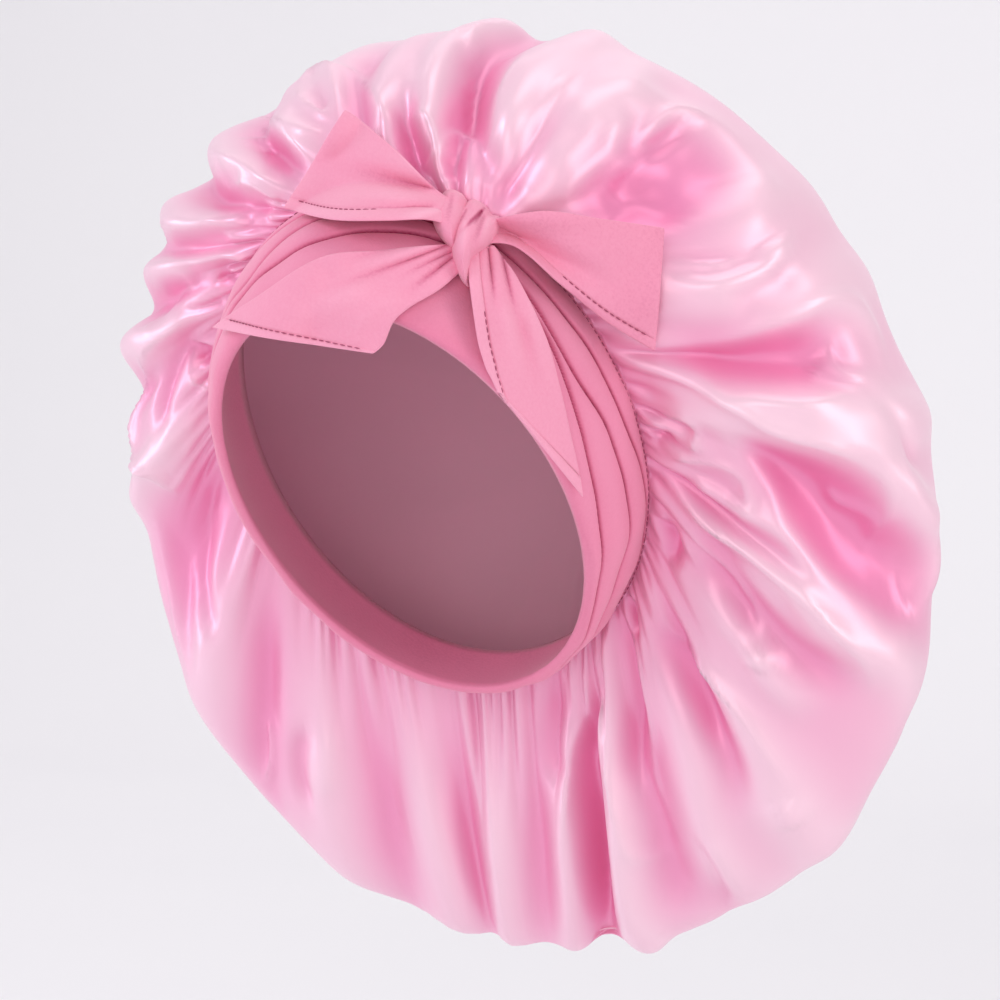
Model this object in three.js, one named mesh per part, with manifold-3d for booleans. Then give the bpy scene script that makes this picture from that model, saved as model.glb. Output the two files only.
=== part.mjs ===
import * as THREE from "three";
import { mergeVertices } from "three/addons/utils/BufferGeometryUtils.js";
import Module from "manifold-3d";

// A sleep bonnet in its worn form: a big gathered satin crown sewn to a wrapped jersey headband, which is
// tied in a bow at the front, towards +X. Lengths are millimetres, +Z is up and the front faces -Y. The
// origin is the centre of the opening. Angles round the openings are degrees: 0 at the top, 90 at +X, 180 at
// the bottom.

const OPENING = { width: 148, height: 212, tilt: 49 };
const BAND = { back: 34, up: 27, tilt: 59, flareSide: 12, flareFront: 4, wall: 2.4, roll: 1.8, bulgeRadius: 90 };
const PUFF = { radius: 170, depth: 80, lean: 8, side: 12, back: 58, up: -15 };
// gatherPeak: where the gathers are highest, 0 at the seam and 1 at the widest ring. leastSlope: how far a
// fold's side may thicken the wall before it's held.
const SATIN = { wall: 1.5, gathers: 30, gatherHeight: 2.2, gatherPeak: 0.1, leastSlope: 0.6 };
// How a fold begins and ends, as shares of its own length, and how soon the seam lets it rise
const FOLD_ENDS = { begin: 0.3, end: 0.35, seam: 0.1 };
const BOW = { turn: 24, at: 29, across: 0.72 };
// twist: how far the wraps turn from top to bottom, in radians for each radian. crest: how flat they are
// between the grooves. sits: the height of the middle above the seat, as a share of the depth.
const KNOT = {
  width: 24, height: 38, depth: 22, lean: 32, wraps: 3, groove: 1.3, twist: 2.4, crest: 0.4, sits: 0.4,
};
const TIE = { wall: 1.6, width: 64, fall: 40, pleats: 2.5, pleatHeight: 1.9 };
// open: how far the two layers stand apart, between the ends and at the fold. foldPower: how sharply the
// cloth turns at the fold. rootShare: how much of the fold's gap is left at the knot.
const LOOP = { reach: 72, openMiddle: 5, openFold: 4, foldPower: 10, rootShare: 0.7 };
const TAIL = { reach: 82 };
const GAP = 0.3;
// The ties rest on points of the band and crown between these angles. clear: the gap kept. radius: how
// tightly the cloth bends over a point. steepest: the least forward lean of a slope that's followed.
const DRAPE = { clear: 1.2, radius: 8, steepest: 0.3, satin: 0.55, from: -80, to: 110, step: 2 };

const SATIN_PINK = new THREE.MeshStandardMaterial({ color: 0xf3a9cc, roughness: 0.28, metalness: 0 });
const JERSEY_PINK = new THREE.MeshStandardMaterial({ color: 0xf0a0be, roughness: 0.85, metalness: 0 });

// Facets of each grid
const CROWN_GRID = { around: 120, rings: 16, crowding: 1.45 };
const BAND_GRID = { around: 68, across: 8, inside: 3 };
const KNOT_GRID = { around: 16, rings: 12 };
const TAIL_GRID = { along: 12, across: 6 };
const LOOP_GRID = { along: 9, across: 6 };

function table(columns, values) {
  return values.map((row) => Object.fromEntries(columns.map((name, i) => [name, row[i]])));
}

// How far the crown's widest ring stands from its centre, as shares of the puff's radius, by its own angle
const RIM = table(
  ["at", "share"],
  [
    [0, 1.03], [24, 1.01], [48, 0.975], [72, 0.965], [96, 1.02],
    [120, 1.09], [144, 1.15], [168, 1.19], [192, 1.19], [216, 1.16],
    [240, 1.08], [264, 1], [288, 1.01], [312, 1.035], [336, 1.04],
  ],
);

// How many degrees the cloth swings round between the seam and the widest ring, by the angle at the seam
const SWING = table(
  ["at", "turn"],
  [
    [0, -20], [20, -19], [35, -12], [50, -4], [75, 6], [90, 12], [105, 20], [125, 27],
    [150, 21], [180, 4], [210, -18], [235, -27], [260, -23], [290, -20], [320, -20], [340, -20],
  ],
);

// The crown's main folds. at: degrees at the seam. wide: half width in degrees. high: share of the puff's
// radius, a valley's below zero. from, to: 0 at the seam, 1 at the widest ring, 2 at the back's middle.
// turn: degrees that the fold moves round from its start to its end.
const FOLDS = table(
  ["at", "wide", "high", "from", "to", "turn"],
  [
    [1, 4, 0.035, 0.3, 1.3, 0], [6, 3, -0.03, 0.2, 0.9, 0], [11.5, 3.5, 0.03, 0.15, 1.1, -1],
    [14.5, 2.4, -0.045, 0.02, 0.5, 0], [18, 3, 0.045, 0.04, 1.4, 0], [22.5, 2.6, -0.055, 0.04, 1.3, -1],
    [28.5, 3, 0.045, 0.04, 1.4, 0], [31.5, 2.4, -0.03, 0.02, 0.6, 0], [35, 3, 0.04, 0.05, 1.1, 0],
    [45, 5.5, -0.055, 0.12, 0.95, 0], [51, 4, 0.02, 0.3, 1.3, 0], [57.5, 4, 0.035, 0.1, 1.3, 1],
    [67.5, 4, -0.055, 0.06, 0.75, -2], [72.5, 3.5, 0.045, 0.02, 1.3, 0], [79, 2.8, 0.055, 0.02, 0.9, 0],
    [81.5, 6, -0.085, 0.22, 1.15, 15], [84, 3.5, 0.025, 0.62, 1.05, 2], [91.5, 2.8, 0.03, 0.03, 0.45, 2],
    [95, 2.6, -0.03, 0.04, 0.45, 0], [99, 3, 0.05, 0.05, 1.2, -1], [103, 2.8, -0.035, 0.05, 0.7, 0],
    [107, 3, 0.03, 0.08, 0.6, 0], [116, 4, 0.04, 0.08, 1.3, 0], [120.5, 3, -0.04, 0.04, 0.6, 0],
    [126, 4, 0.03, 0.1, 1.3, 0], [129, 3.5, -0.03, 0.6, 1.3, -3], [136, 4, -0.035, 0.08, 0.9, 0],
    [146, 4.5, 0.05, 0.04, 1.4, 0], [152.5, 4, -0.075, 0.04, 1.3, 2], [160, 5, 0.03, 0.1, 1.3, 0],
    [171, 5, -0.03, 0.1, 1.2, 0], [183, 6, 0.035, 0.1, 1.3, 0], [196, 5, -0.035, 0.08, 1.2, 0],
    [209, 6, 0.03, 0.1, 1.3, 0], [222, 5, -0.03, 0.08, 1.2, 0], [234, 5, 0.03, 0.1, 1.3, 0],
    [247, 3.6, -0.04, 0.06, 1, -2], [257, 5, 0.03, 0.15, 1.3, 0], [270, 7, -0.06, 0.04, 0.75, 0],
    [283, 4, 0.045, 0.1, 0.9, 3], [292, 5, 0.035, 0.6, 1.4, 0], [299, 3.5, -0.045, 0.25, 1.3, 0],
    [306, 4, 0.05, 0.06, 1.3, 0], [313.5, 3, -0.045, 0.04, 1.2, 0], [319, 3, 0.03, 0.04, 1.2, 0],
    [323, 2.6, -0.03, 0.06, 1, 0], [328, 3.6, 0.05, 0.06, 1.3, 0], [334.5, 3, -0.055, 0.03, 1.3, 0],
    [341, 4, 0.05, 0.05, 1.3, 0], [348, 3, -0.04, 0.04, 1, 0], [354, 3.5, 0.03, 0.06, 1, 0],
  ],
);

// Sections of the bow's four cloths, seen from the front. at: 0 in the knot, 1 at the far end. x, y: the
// section's middle, shares of the reach. span: share of the tie's width. turn: degrees from level.
// lift: how far it stands off what it lies on, as a share of the knot's depth.
const SECTION = ["at", "x", "y", "span", "turn", "lift"];
const TAILS = {
  tie_tail_left: table(SECTION, [
    [0, 0.05, -0.02, 0.16, 5, 0.5],
    [0.2, 0.11, -0.17, 0.28, 4, 0.45],
    [0.45, 0.19, -0.42, 0.4, -2, 0.15],
    [0.65, 0.24, -0.6, 0.46, -18, 0.05],
    [0.83, 0.28, -0.74, 0.57, -36, 0],
    [1, 0.33, -0.92, 0.78, -52, 0],
  ]),
  tie_tail_right: table(SECTION, [
    [0, -0.02, -0.05, 0.14, 100, 0.3],
    [0.2, -0.16, -0.11, 0.26, 108, 0.18],
    [0.4, -0.34, -0.16, 0.38, 122, 0.04],
    [0.6, -0.5, -0.21, 0.56, 138, 0],
    [0.8, -0.66, -0.34, 0.77, 158, 0],
    [1, -0.81, -0.44, 0.98, 172, 0],
  ]),
};
const LOOPS = {
  bow_loop_left: table(SECTION, [
    [0, 0.04, 0.05, 0.12, 100, 0.34],
    [0.2, 0.21, 0.06, 0.18, 106, 0.24],
    [0.42, 0.43, -0.02, 0.42, 99, 0.08],
    [0.7, 0.69, -0.14, 0.6, 94, 0.02],
    [1, 0.98, -0.24, 0.72, 86, 0],
  ]),
  bow_loop_right: table(SECTION, [
    [0, -0.03, 0.12, 0.14, 88, 0.5],
    [0.2, -0.19, 0.2, 0.19, 84, 0.4],
    [0.42, -0.39, 0.29, 0.4, 82, 0.15],
    [0.7, -0.62, 0.37, 0.59, 74, 0.05],
    [1, -0.81, 0.44, 0.68, 58, 0],
  ]),
};

// Sizes worked out from the ones above
const seam = { width: OPENING.width + 2 * BAND.flareSide, height: OPENING.height + 2 * BAND.flareFront };
const puffLean = THREE.MathUtils.degToRad(PUFF.lean);
const puffUp = new THREE.Vector3(0, -Math.sin(puffLean), Math.cos(puffLean));
const puffBack = new THREE.Vector3(0, Math.cos(puffLean), Math.sin(puffLean));
const puffCentre = new THREE.Vector3(PUFF.side, BAND.back + PUFF.back, BAND.up + PUFF.up);

const wasm = await Module();
wasm.setup();

// A smooth curve through a table's column. Where turn is given the table goes round and meets itself.
function read(rows, column, at, turn = 0) {
  const count = rows.length;
  const place = turn ? THREE.MathUtils.euclideanModulo(at - rows[0].at, turn) + rows[0].at : at;
  const key = (i) => {
    const round = turn ? Math.floor(i / count) : 0;
    const row = rows[turn ? i - round * count : THREE.MathUtils.clamp(i, 0, count - 1)];
    return [row.at + round * turn, row[column]];
  };
  let i = turn ? count - 1 : count - 2;
  while (i > 0 && rows[i].at > place) i -= 1;
  const [[x0, y0], [x1, y1], [x2, y2], [x3, y3]] = [i - 1, i, i + 1, i + 2].map(key);
  const step = x2 - x1;
  const s = (place - x1) / step;
  const slopeIn = ((y2 - y0) / (x2 - x0)) * step;
  const slopeOut = ((y3 - y1) / (x3 - x1)) * step;
  const rise = y2 - y1;
  return y1 + s * (slopeIn + s * (3 * rise - 2 * slopeIn - slopeOut + s * (slopeIn + slopeOut - 2 * rise)));
}

function ellipsePoint(width, height, tilt, angle) {
  const a = THREE.MathUtils.degToRad(angle);
  const t = THREE.MathUtils.degToRad(tilt);
  const up = (height / 2) * Math.cos(a);
  return new THREE.Vector3((width / 2) * Math.sin(a), -up * Math.cos(t), up * Math.sin(t));
}

function openingPoint(angle) {
  return ellipsePoint(OPENING.width, OPENING.height, OPENING.tilt, angle);
}

function seamPoint(angle) {
  return ellipsePoint(seam.width, seam.height, BAND.tilt, angle).add(new THREE.Vector3(0, BAND.back, BAND.up));
}

// The band at one angle: its lower edge, the way up to the seam, its width, and the way out
function bandFrame(angle) {
  const low = openingPoint(angle);
  const along = seamPoint(angle).sub(low);
  const width = along.length();
  const around = seamPoint(angle + 1).sub(seamPoint(angle - 1));
  around.add(openingPoint(angle + 1)).sub(openingPoint(angle - 1));
  along.normalize();
  return { low, along, width, out: around.cross(along).normalize() };
}

// A point of the band, across from 0 at its lower edge to 1 at the seam, raised off its flat chord
function bandPoint(angle, across, raised = 0) {
  const { low, along, width, out } = bandFrame(angle);
  const bulge = (width ** 2 / (2 * BAND.bulgeRadius)) * across * (1 - across);
  return low.addScaledVector(along, width * across).addScaledVector(out, bulge + raised);
}

// The wrapped rolls: a plain panel at the lower edge, then rolls with creases between them
function rollHeight(across) {
  const step = 2 / BAND_GRID.across;
  return across <= step ? 0 : BAND.roll * 0.5 * (Math.cos((2 * Math.PI * (across - 2 * step)) / step) - 1);
}

function rimPoint(angle) {
  const a = THREE.MathUtils.degToRad(angle);
  const radius = PUFF.radius * read(RIM, "share", angle, 360);
  return puffCentre
    .clone()
    .add(new THREE.Vector3(radius * Math.sin(a), 0, 0))
    .addScaledVector(puffUp, radius * Math.cos(a));
}

// The crown without its folds: a quarter ellipse from the seam out to the widest ring, and another from
// there in to the middle of the back
function crownBase(angle, t) {
  const start = seamPoint(angle).addScaledVector(bandFrame(angle).along, GAP);
  const rim = rimPoint(angle + read(SWING, "turn", angle, 360));
  if (t <= 1) {
    const reach = rim.sub(start);
    const back = reach.dot(puffBack);
    const turned = (t * Math.PI) / 2;
    return start
      .addScaledVector(reach.addScaledVector(puffBack, -back), Math.sin(turned))
      .addScaledVector(puffBack, back * (1 - Math.cos(turned)));
  }
  const turned = ((t - 1) * Math.PI) / 2;
  return rim
    .sub(puffCentre)
    .multiplyScalar(Math.cos(turned))
    .add(puffCentre)
    .addScaledVector(puffBack, PUFF.depth * Math.sin(turned));
}

// How far the folds and gathers raise the satin
function foldHeight(angle, t) {
  let height = 0;
  for (const fold of FOLDS) {
    const share = (t - fold.from) / (fold.to - fold.from);
    if (share <= 0 || share >= 1) continue;
    const away = THREE.MathUtils.euclideanModulo(angle - fold.at - fold.turn * share + 180, 360) - 180;
    const begun = THREE.MathUtils.smoothstep(share, 0, FOLD_ENDS.begin);
    const left = THREE.MathUtils.smoothstep(1 - share, 0, FOLD_ENDS.end);
    height += fold.high * PUFF.radius * begun * left * Math.exp(-((away / fold.wide) ** 2));
  }
  const pucker = (t / SATIN.gatherPeak) * Math.exp(1 - t / SATIN.gatherPeak);
  const wave = Math.cos(THREE.MathUtils.degToRad(angle * SATIN.gathers));
  return height * THREE.MathUtils.smoothstep(t, 0, FOLD_ENDS.seam) + SATIN.gatherHeight * pucker * wave;
}

// The way out of the crown, from the base's slopes
function crownOut(angle, t) {
  const here = crownBase(angle, t);
  const side = crownBase(angle + 1, t).sub(here);
  return side.cross(crownBase(angle, t + 0.01).sub(here)).normalize();
}

function crownPoint(angle, t) {
  return crownBase(angle, t).addScaledVector(crownOut(angle, t), foldHeight(angle, t));
}

// Unit normals of a grid of points, whose columns may go round
function gridNormals(grid, round) {
  const last = grid.length - 1;
  return grid.map((row, i) =>
    row.map((_, j) => {
      const end = row.length - 1;
      const before = round ? (j + end) % row.length : Math.max(j - 1, 0);
      const after = round ? (j + 1) % row.length : Math.min(j + 1, end);
      const down = grid[Math.min(i + 1, last)][j].clone().sub(grid[Math.max(i - 1, 0)][j]);
      return row[after].clone().sub(row[before]).cross(down).normalize();
    }),
  );
}

function meshGeometry(points, index) {
  const geometry = new THREE.BufferGeometry().setFromPoints(points);
  let volume = 0;
  for (let i = 0; i < index.length; i += 3) {
    const [a, b, c] = [points[index[i]], points[index[i + 1]], points[index[i + 2]]];
    volume += a.dot(b.clone().cross(c));
  }
  geometry.setIndex(volume < 0 ? index.slice().reverse() : index);
  return geometry;
}

// A closed wall between two grids of the same size. Columns may go round, and the last row may close on a
// pair of tips, one for each side.
function wallGeometry(outer, inner, { round = false, tips = null } = {}) {
  const rows = outer.length;
  const columns = outer[0].length;
  const points = [...outer.flat(), ...inner.flat(), ...(tips ?? [])];
  const index = [];
  const id = (side, i, j) => side * rows * columns + i * columns + (j % columns);
  const quad = (a, b, c, d) => index.push(a, b, c, a, c, d);
  const spans = round ? columns : columns - 1;
  for (let j = 0; j < spans; j += 1) {
    for (let i = 0; i < rows - 1; i += 1) {
      quad(id(0, i, j), id(0, i, j + 1), id(0, i + 1, j + 1), id(0, i + 1, j));
      quad(id(1, i, j), id(1, i + 1, j), id(1, i + 1, j + 1), id(1, i, j + 1));
    }
    quad(id(0, 0, j), id(1, 0, j), id(1, 0, j + 1), id(0, 0, j + 1));
    if (tips) {
      const tip = 2 * rows * columns;
      index.push(id(0, rows - 1, j), id(0, rows - 1, j + 1), tip);
      index.push(id(1, rows - 1, j + 1), id(1, rows - 1, j), tip + 1);
    } else {
      quad(id(0, rows - 1, j), id(0, rows - 1, j + 1), id(1, rows - 1, j + 1), id(1, rows - 1, j));
    }
  }
  if (!round) {
    for (let i = 0; i < rows - 1; i += 1) {
      quad(id(0, i, 0), id(0, i + 1, 0), id(1, i + 1, 0), id(1, i, 0));
      quad(id(0, i, spans), id(1, i, spans), id(1, i + 1, spans), id(0, i + 1, spans));
    }
  }
  return meshGeometry(points, index);
}

function grid(rows, columns, point) {
  return Array.from({ length: rows }, (_, i) => Array.from({ length: columns }, (__, j) => point(i, j)));
}

// The satin crown: a thin shell that is open at the seam, its wall kept even on the folds' slopes
function crownGeometry() {
  const { around, rings, crowding } = CROWN_GRID;
  const angleOf = (j) => (360 * j) / around;
  const stationOf = (i) => 2 * (i / rings) ** crowding;
  const outer = grid(rings, around, (i, j) => crownPoint(angleOf(j), stationOf(i)));
  const out = grid(rings, around, (i, j) => crownOut(angleOf(j), stationOf(i)));
  const steep = gridNormals(outer, true);
  const inner = outer.map((row, i) =>
    row.map((p, j) => {
      const slope = Math.max(steep[i][j].dot(out[i][j]), SATIN.leastSlope);
      return p.clone().addScaledVector(out[i][j], -SATIN.wall / slope);
    }),
  );
  const tip = puffCentre.clone().addScaledVector(puffBack, PUFF.depth);
  const tips = [tip, tip.clone().addScaledVector(puffBack, -SATIN.wall)];
  return wallGeometry(outer, inner, { round: true, tips });
}

// The headband: a closed section with rolls outside and a smooth inner side, carried round the opening
function bandGeometry() {
  const { around, across, inside } = BAND_GRID;
  const section = [];
  for (let k = 0; k <= across; k += 1) section.push({ share: k / across, raised: rollHeight(k / across) });
  for (let k = inside; k >= 0; k -= 1) section.push({ share: k / inside, raised: -BAND.wall - BAND.roll });
  section[across].raised = 0;
  const points = [];
  const index = [];
  for (let j = 0; j < around; j += 1) {
    for (const { share, raised } of section) points.push(bandPoint((360 * j) / around, share, raised));
  }
  const id = (j, k) => (j % around) * section.length + (k % section.length);
  for (let j = 0; j < around; j += 1) {
    for (let k = 0; k < section.length; k += 1) {
      index.push(id(j, k), id(j + 1, k), id(j + 1, k + 1), id(j, k), id(j + 1, k + 1), id(j, k + 1));
    }
  }
  return meshGeometry(points, index);
}

// The bow's own frame stands upright on the band, turned towards +X: x sideways, y up, z out of the front
const bow = new THREE.Group();
bow.position.copy(bandPoint(BOW.at, BOW.across));
bow.rotation.set(Math.PI / 2, 0, 0);
bow.rotation.order = "ZYX";
bow.rotation.z = THREE.MathUtils.degToRad(BOW.turn);
bow.updateMatrixWorld(true);

// What the bow lies on, in its frame: the band, the satin behind it, and the way down from the lower edge.
// Each point stands clear of its surface and keeps the surface's slope there.
function restingPoints(clear) {
  const points = [];
  const sample = (place, end, step) => {
    for (let angle = DRAPE.from; angle < DRAPE.to; angle += DRAPE.step) {
      for (let t = 0; t <= end; t += step) {
        const here = bow.worldToLocal(place(angle, t));
        const side = bow.worldToLocal(place(angle + 1, t)).sub(here);
        const normal = side.cross(bow.worldToLocal(place(angle, t + step / 4)).sub(here)).normalize();
        if (normal.z < 0) normal.negate();
        const faces = normal.z > DRAPE.steepest;
        here.addScaledVector(normal, clear);
        points.push({ here, x: faces ? -normal.x / normal.z : 0, y: faces ? -normal.y / normal.z : 0 });
      }
    }
  };
  sample(bandPoint, 1, 0.08);
  sample(crownPoint, DRAPE.satin, 0.03);
  sample((angle, share) => bandPoint(angle, 0).setZ(openingPoint(angle).z - TIE.fall * share), 1, 0.1);
  return points;
}

// Height of a cloth laid over those points: the highest of the round caps that touch their slopes
function drape(points, x, y) {
  let height = -Infinity;
  for (const { here, ...slope } of points) {
    const [dx, dy] = [x - here.x, y - here.y];
    const cap = here.z + slope.x * dx + slope.y * dy - (dx * dx + dy * dy) / (2 * DRAPE.radius);
    height = Math.max(height, cap);
  }
  return height;
}

function solidOf(geometry) {
  const merged = mergeVertices(geometry, 1e-4);
  const vertProperties = merged.attributes.position.array;
  return new wasm.Manifold(new wasm.Mesh({ numProp: 3, vertProperties, triVerts: new Uint32Array(merged.index.array) }));
}

function geometryOf(solid) {
  const { vertProperties, triVerts } = solid.getMesh();
  const geometry = new THREE.BufferGeometry();
  geometry.setAttribute("position", new THREE.BufferAttribute(vertProperties, 3));
  return geometry.setIndex(new THREE.BufferAttribute(triVerts, 1));
}

// The knot: a wound lump with diagonal grooves, flat where it sits on the band. grown is added all round.
function knotGeometry(seat, grown = 0) {
  const { around, rings } = KNOT_GRID;
  const lean = THREE.MathUtils.degToRad(-KNOT.lean);
  const centre = new THREE.Vector3(0, 0, KNOT.sits * KNOT.depth);
  const point = (turned, height) => {
    const ring = Math.sin(height);
    const wave = Math.cos(KNOT.wraps * turned + KNOT.twist * height);
    const groove = KNOT.groove * ring * Math.max(wave, -KNOT.crest);
    const p = new THREE.Vector3(
      (KNOT.width / 2 - groove + grown) * ring * Math.sin(turned),
      (KNOT.height / 2 + grown) * Math.cos(height),
      (KNOT.depth / 2 - groove + grown) * ring * Math.cos(turned),
    );
    p.applyAxisAngle(new THREE.Vector3(1, 0, 0), lean).add(centre);
    p.z = Math.max(p.z, drape(seat, p.x, p.y) - grown);
    return p;
  };
  const rows = grid(rings - 1, around, (i, j) => point((2 * Math.PI * j) / around, (Math.PI * (i + 1)) / rings));
  const points = [...rows.flat(), point(0, 0), point(0, Math.PI)];
  const index = [];
  const id = (i, j) => i * around + (j % around);
  for (let j = 0; j < around; j += 1) {
    for (let i = 0; i < rings - 2; i += 1) {
      index.push(id(i, j), id(i + 1, j), id(i + 1, j + 1), id(i, j), id(i + 1, j + 1), id(i, j + 1));
    }
    index.push(points.length - 2, id(0, j), id(0, j + 1));
    index.push(points.length - 1, id(rings - 2, j + 1), id(rings - 2, j));
  }
  return meshGeometry(points, index);
}

// A place on one of the bow's cloths. side runs from -1 to 1 across it.
function tiePlace(sections, reach, at, side) {
  const turn = THREE.MathUtils.degToRad(read(sections, "turn", at));
  const half = (side * TIE.width * read(sections, "span", at)) / 2;
  const x = reach * read(sections, "x", at) + half * Math.cos(turn);
  const y = reach * read(sections, "y", at) + half * Math.sin(turn);
  return { x, y, lift: KNOT.depth * read(sections, "lift", at) };
}

// Lengthwise pleats, deepest near the knot, where the cloth is drawn together
function pleat(at, side) {
  return TIE.pleatHeight * 4 * at * (1 - at) * Math.cos(TIE.pleats * Math.PI * side);
}

function sheetGeometry(rows) {
  const out = gridNormals(rows, false);
  const shifted = (by) => rows.map((row, i) => row.map((p, j) => p.clone().addScaledVector(out[i][j], by)));
  return wallGeometry(shifted(TIE.wall / 2), shifted(-TIE.wall / 2));
}

function tailGeometry(sections, rest) {
  const { along, across } = TAIL_GRID;
  const rows = grid(along + 1, across + 1, (i, j) => {
    const at = i / along;
    const side = (2 * j) / across - 1;
    const { x, y, lift } = tiePlace(sections, TAIL.reach, at, side);
    return new THREE.Vector3(x, y, drape(rest, x, y) + lift + Math.abs(pleat(at, side)));
  });
  return sheetGeometry(rows);
}

// A loop: the cloth goes out in front, turns round at the pressed fold and comes back behind
function loopGeometry(sections, rest) {
  const { along, across } = LOOP_GRID;
  const rows = grid(2 * along + 1, across + 1, (i, j) => {
    const out = 1 - Math.abs(i / along - 1);
    const at = Math.sin((out * Math.PI) / 2);
    const side = (2 * j) / across - 1;
    const { x, y, lift } = tiePlace(sections, LOOP.reach, at, side);
    const gap = LOOP.openFold * (LOOP.rootShare + (1 - LOOP.rootShare) * at);
    const open = gap + LOOP.openMiddle * Math.sin(Math.PI * at) ** 2;
    const layer = (i < along ? 1 : -1) * Math.sqrt(1 - at ** LOOP.foldPower);
    const raised = lift + (open * (1 + layer)) / 2 + Math.abs(pleat(at, side)) / 2;
    return new THREE.Vector3(x, y, drape(rest, x, y) + raised);
  });
  return sheetGeometry(rows);
}

function named(name, geometry, material) {
  const made = new THREE.Mesh(geometry, material);
  made.name = name;
  geometry.computeVertexNormals();
  return made;
}

const bonnet = new THREE.Group();
bonnet.add(named("crown", crownGeometry(), SATIN_PINK));
bonnet.add(named("headband", bandGeometry(), JERSEY_PINK));

// The knot sits on seat, and the middles of the ties' walls lie on rest
const seat = restingPoints(GAP);
const rest = restingPoints(DRAPE.clear + TIE.wall / 2);
const knotRoom = solidOf(knotGeometry(seat, GAP));
bow.add(named("tie_knot", knotGeometry(seat), JERSEY_PINK));
for (const [name, sections] of Object.entries(LOOPS)) {
  const loop = solidOf(loopGeometry(sections, rest)).subtract(knotRoom);
  bow.add(named(name, geometryOf(loop), JERSEY_PINK));
}
for (const [name, sections] of Object.entries(TAILS)) {
  const tail = solidOf(tailGeometry(sections, rest)).subtract(knotRoom);
  bow.add(named(name, geometryOf(tail), JERSEY_PINK));
}
bonnet.add(bow);

export default bonnet;
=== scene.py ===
# A sleep bonnet: a big gathered satin crown on a wrapped jersey headband, tied in a bow at the front.
# Shapes are worked out in millimetres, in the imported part's own frame, and go into meshes in metres.
# Angles round the openings are degrees: 0 at the top, 90 at +X, 180 at the bottom.
import math

import bpy
import numpy as np
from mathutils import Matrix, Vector


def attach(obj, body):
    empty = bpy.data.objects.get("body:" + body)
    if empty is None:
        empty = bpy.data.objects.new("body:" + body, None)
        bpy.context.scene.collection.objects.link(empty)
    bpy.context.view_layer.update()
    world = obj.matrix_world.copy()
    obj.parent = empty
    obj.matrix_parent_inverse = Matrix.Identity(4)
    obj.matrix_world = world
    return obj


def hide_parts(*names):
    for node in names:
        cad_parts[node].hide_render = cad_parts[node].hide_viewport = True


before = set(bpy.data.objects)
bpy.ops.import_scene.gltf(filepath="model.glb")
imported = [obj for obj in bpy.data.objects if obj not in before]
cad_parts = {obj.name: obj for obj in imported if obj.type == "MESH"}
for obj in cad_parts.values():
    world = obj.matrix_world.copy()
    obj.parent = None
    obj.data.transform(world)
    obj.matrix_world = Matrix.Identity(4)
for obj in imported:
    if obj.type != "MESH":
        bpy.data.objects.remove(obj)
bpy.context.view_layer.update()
print("bonnet: frame loaded,", len(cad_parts), "nodes")

millimetre = 0.001


# Numbers
def table(names, rows):
    # the columns of some rows, by name
    return dict(zip(names.split(), np.array(rows, float).T))


def smooth(low, high, x):
    # the usual soft step: 3 s squared minus 2 s cubed, with s from 0 at low to 1 at high
    s = np.clip((x - low) / (high - low), 0, 1)
    return s * s * (3 - 2 * s)


def readTable(rows, name, at, turn=None):
    # a cubic between two rows, whose slope at each row is that of the line through its neighbours
    x, y = rows["at"], rows[name]
    if turn:
        x = np.concatenate([x[-2:] - turn, x, x[:2] + turn])
        y = np.concatenate([y[-2:], y, y[:2]])
        at = (at - rows["at"][0]) % turn + rows["at"][0]
    k = np.arange(len(x))
    before, after = np.maximum(k - 1, 0), np.minimum(k + 1, len(x) - 1)
    slope = (y[after] - y[before]) / (x[after] - x[before])
    i = np.clip(np.searchsorted(x, at, side="right") - 1, 0, len(x) - 2)
    step = x[i + 1] - x[i]
    s = (at - x[i]) / step
    a, b, rise = slope[i] * step, slope[i + 1] * step, y[i + 1] - y[i]
    return y[i] + s * (a + s * (3 * rise - 2 * a - b + s * (a + b - 2 * rise)))


def unit(v):
    # each vector over its own length
    return v / np.maximum(np.linalg.norm(v, axis=-1, keepdims=True), 1e-9)


def ripples(angle, t, seed, count, around, along):
    # soft noise that meets itself round the crown: a sum of waves, each with a whole number of turns
    draw = np.random.default_rng(seed)
    total = np.zeros(np.broadcast(angle, t).shape)
    for _ in range(count):
        turns = draw.integers(around[0], around[1] + 1)
        cycles = draw.uniform(*along)
        total += np.cos(np.radians(angle) * turns + 2 * np.pi * cycles * t + draw.uniform(0, 2 * np.pi))
    return total / math.sqrt(count / 2)


# Meshes
paintedBackShade = -0.1  # painted shade: the depth that colours the back of every wall a little deeper


def gridFaces(rows, columns, first, around, flip=False):
    # quads between neighbouring rows and columns of a grid whose first point has the number first
    i, j = np.meshgrid(np.arange(rows - 1), np.arange(columns if around else columns - 1), indexing="ij")
    k = (j + 1) % columns
    quads = np.stack([i * columns + j, i * columns + k, (i + 1) * columns + k, (i + 1) * columns + j], -1)
    quads = quads.reshape(-1, 4) + first
    return quads[:, ::-1] if flip else quads


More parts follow.
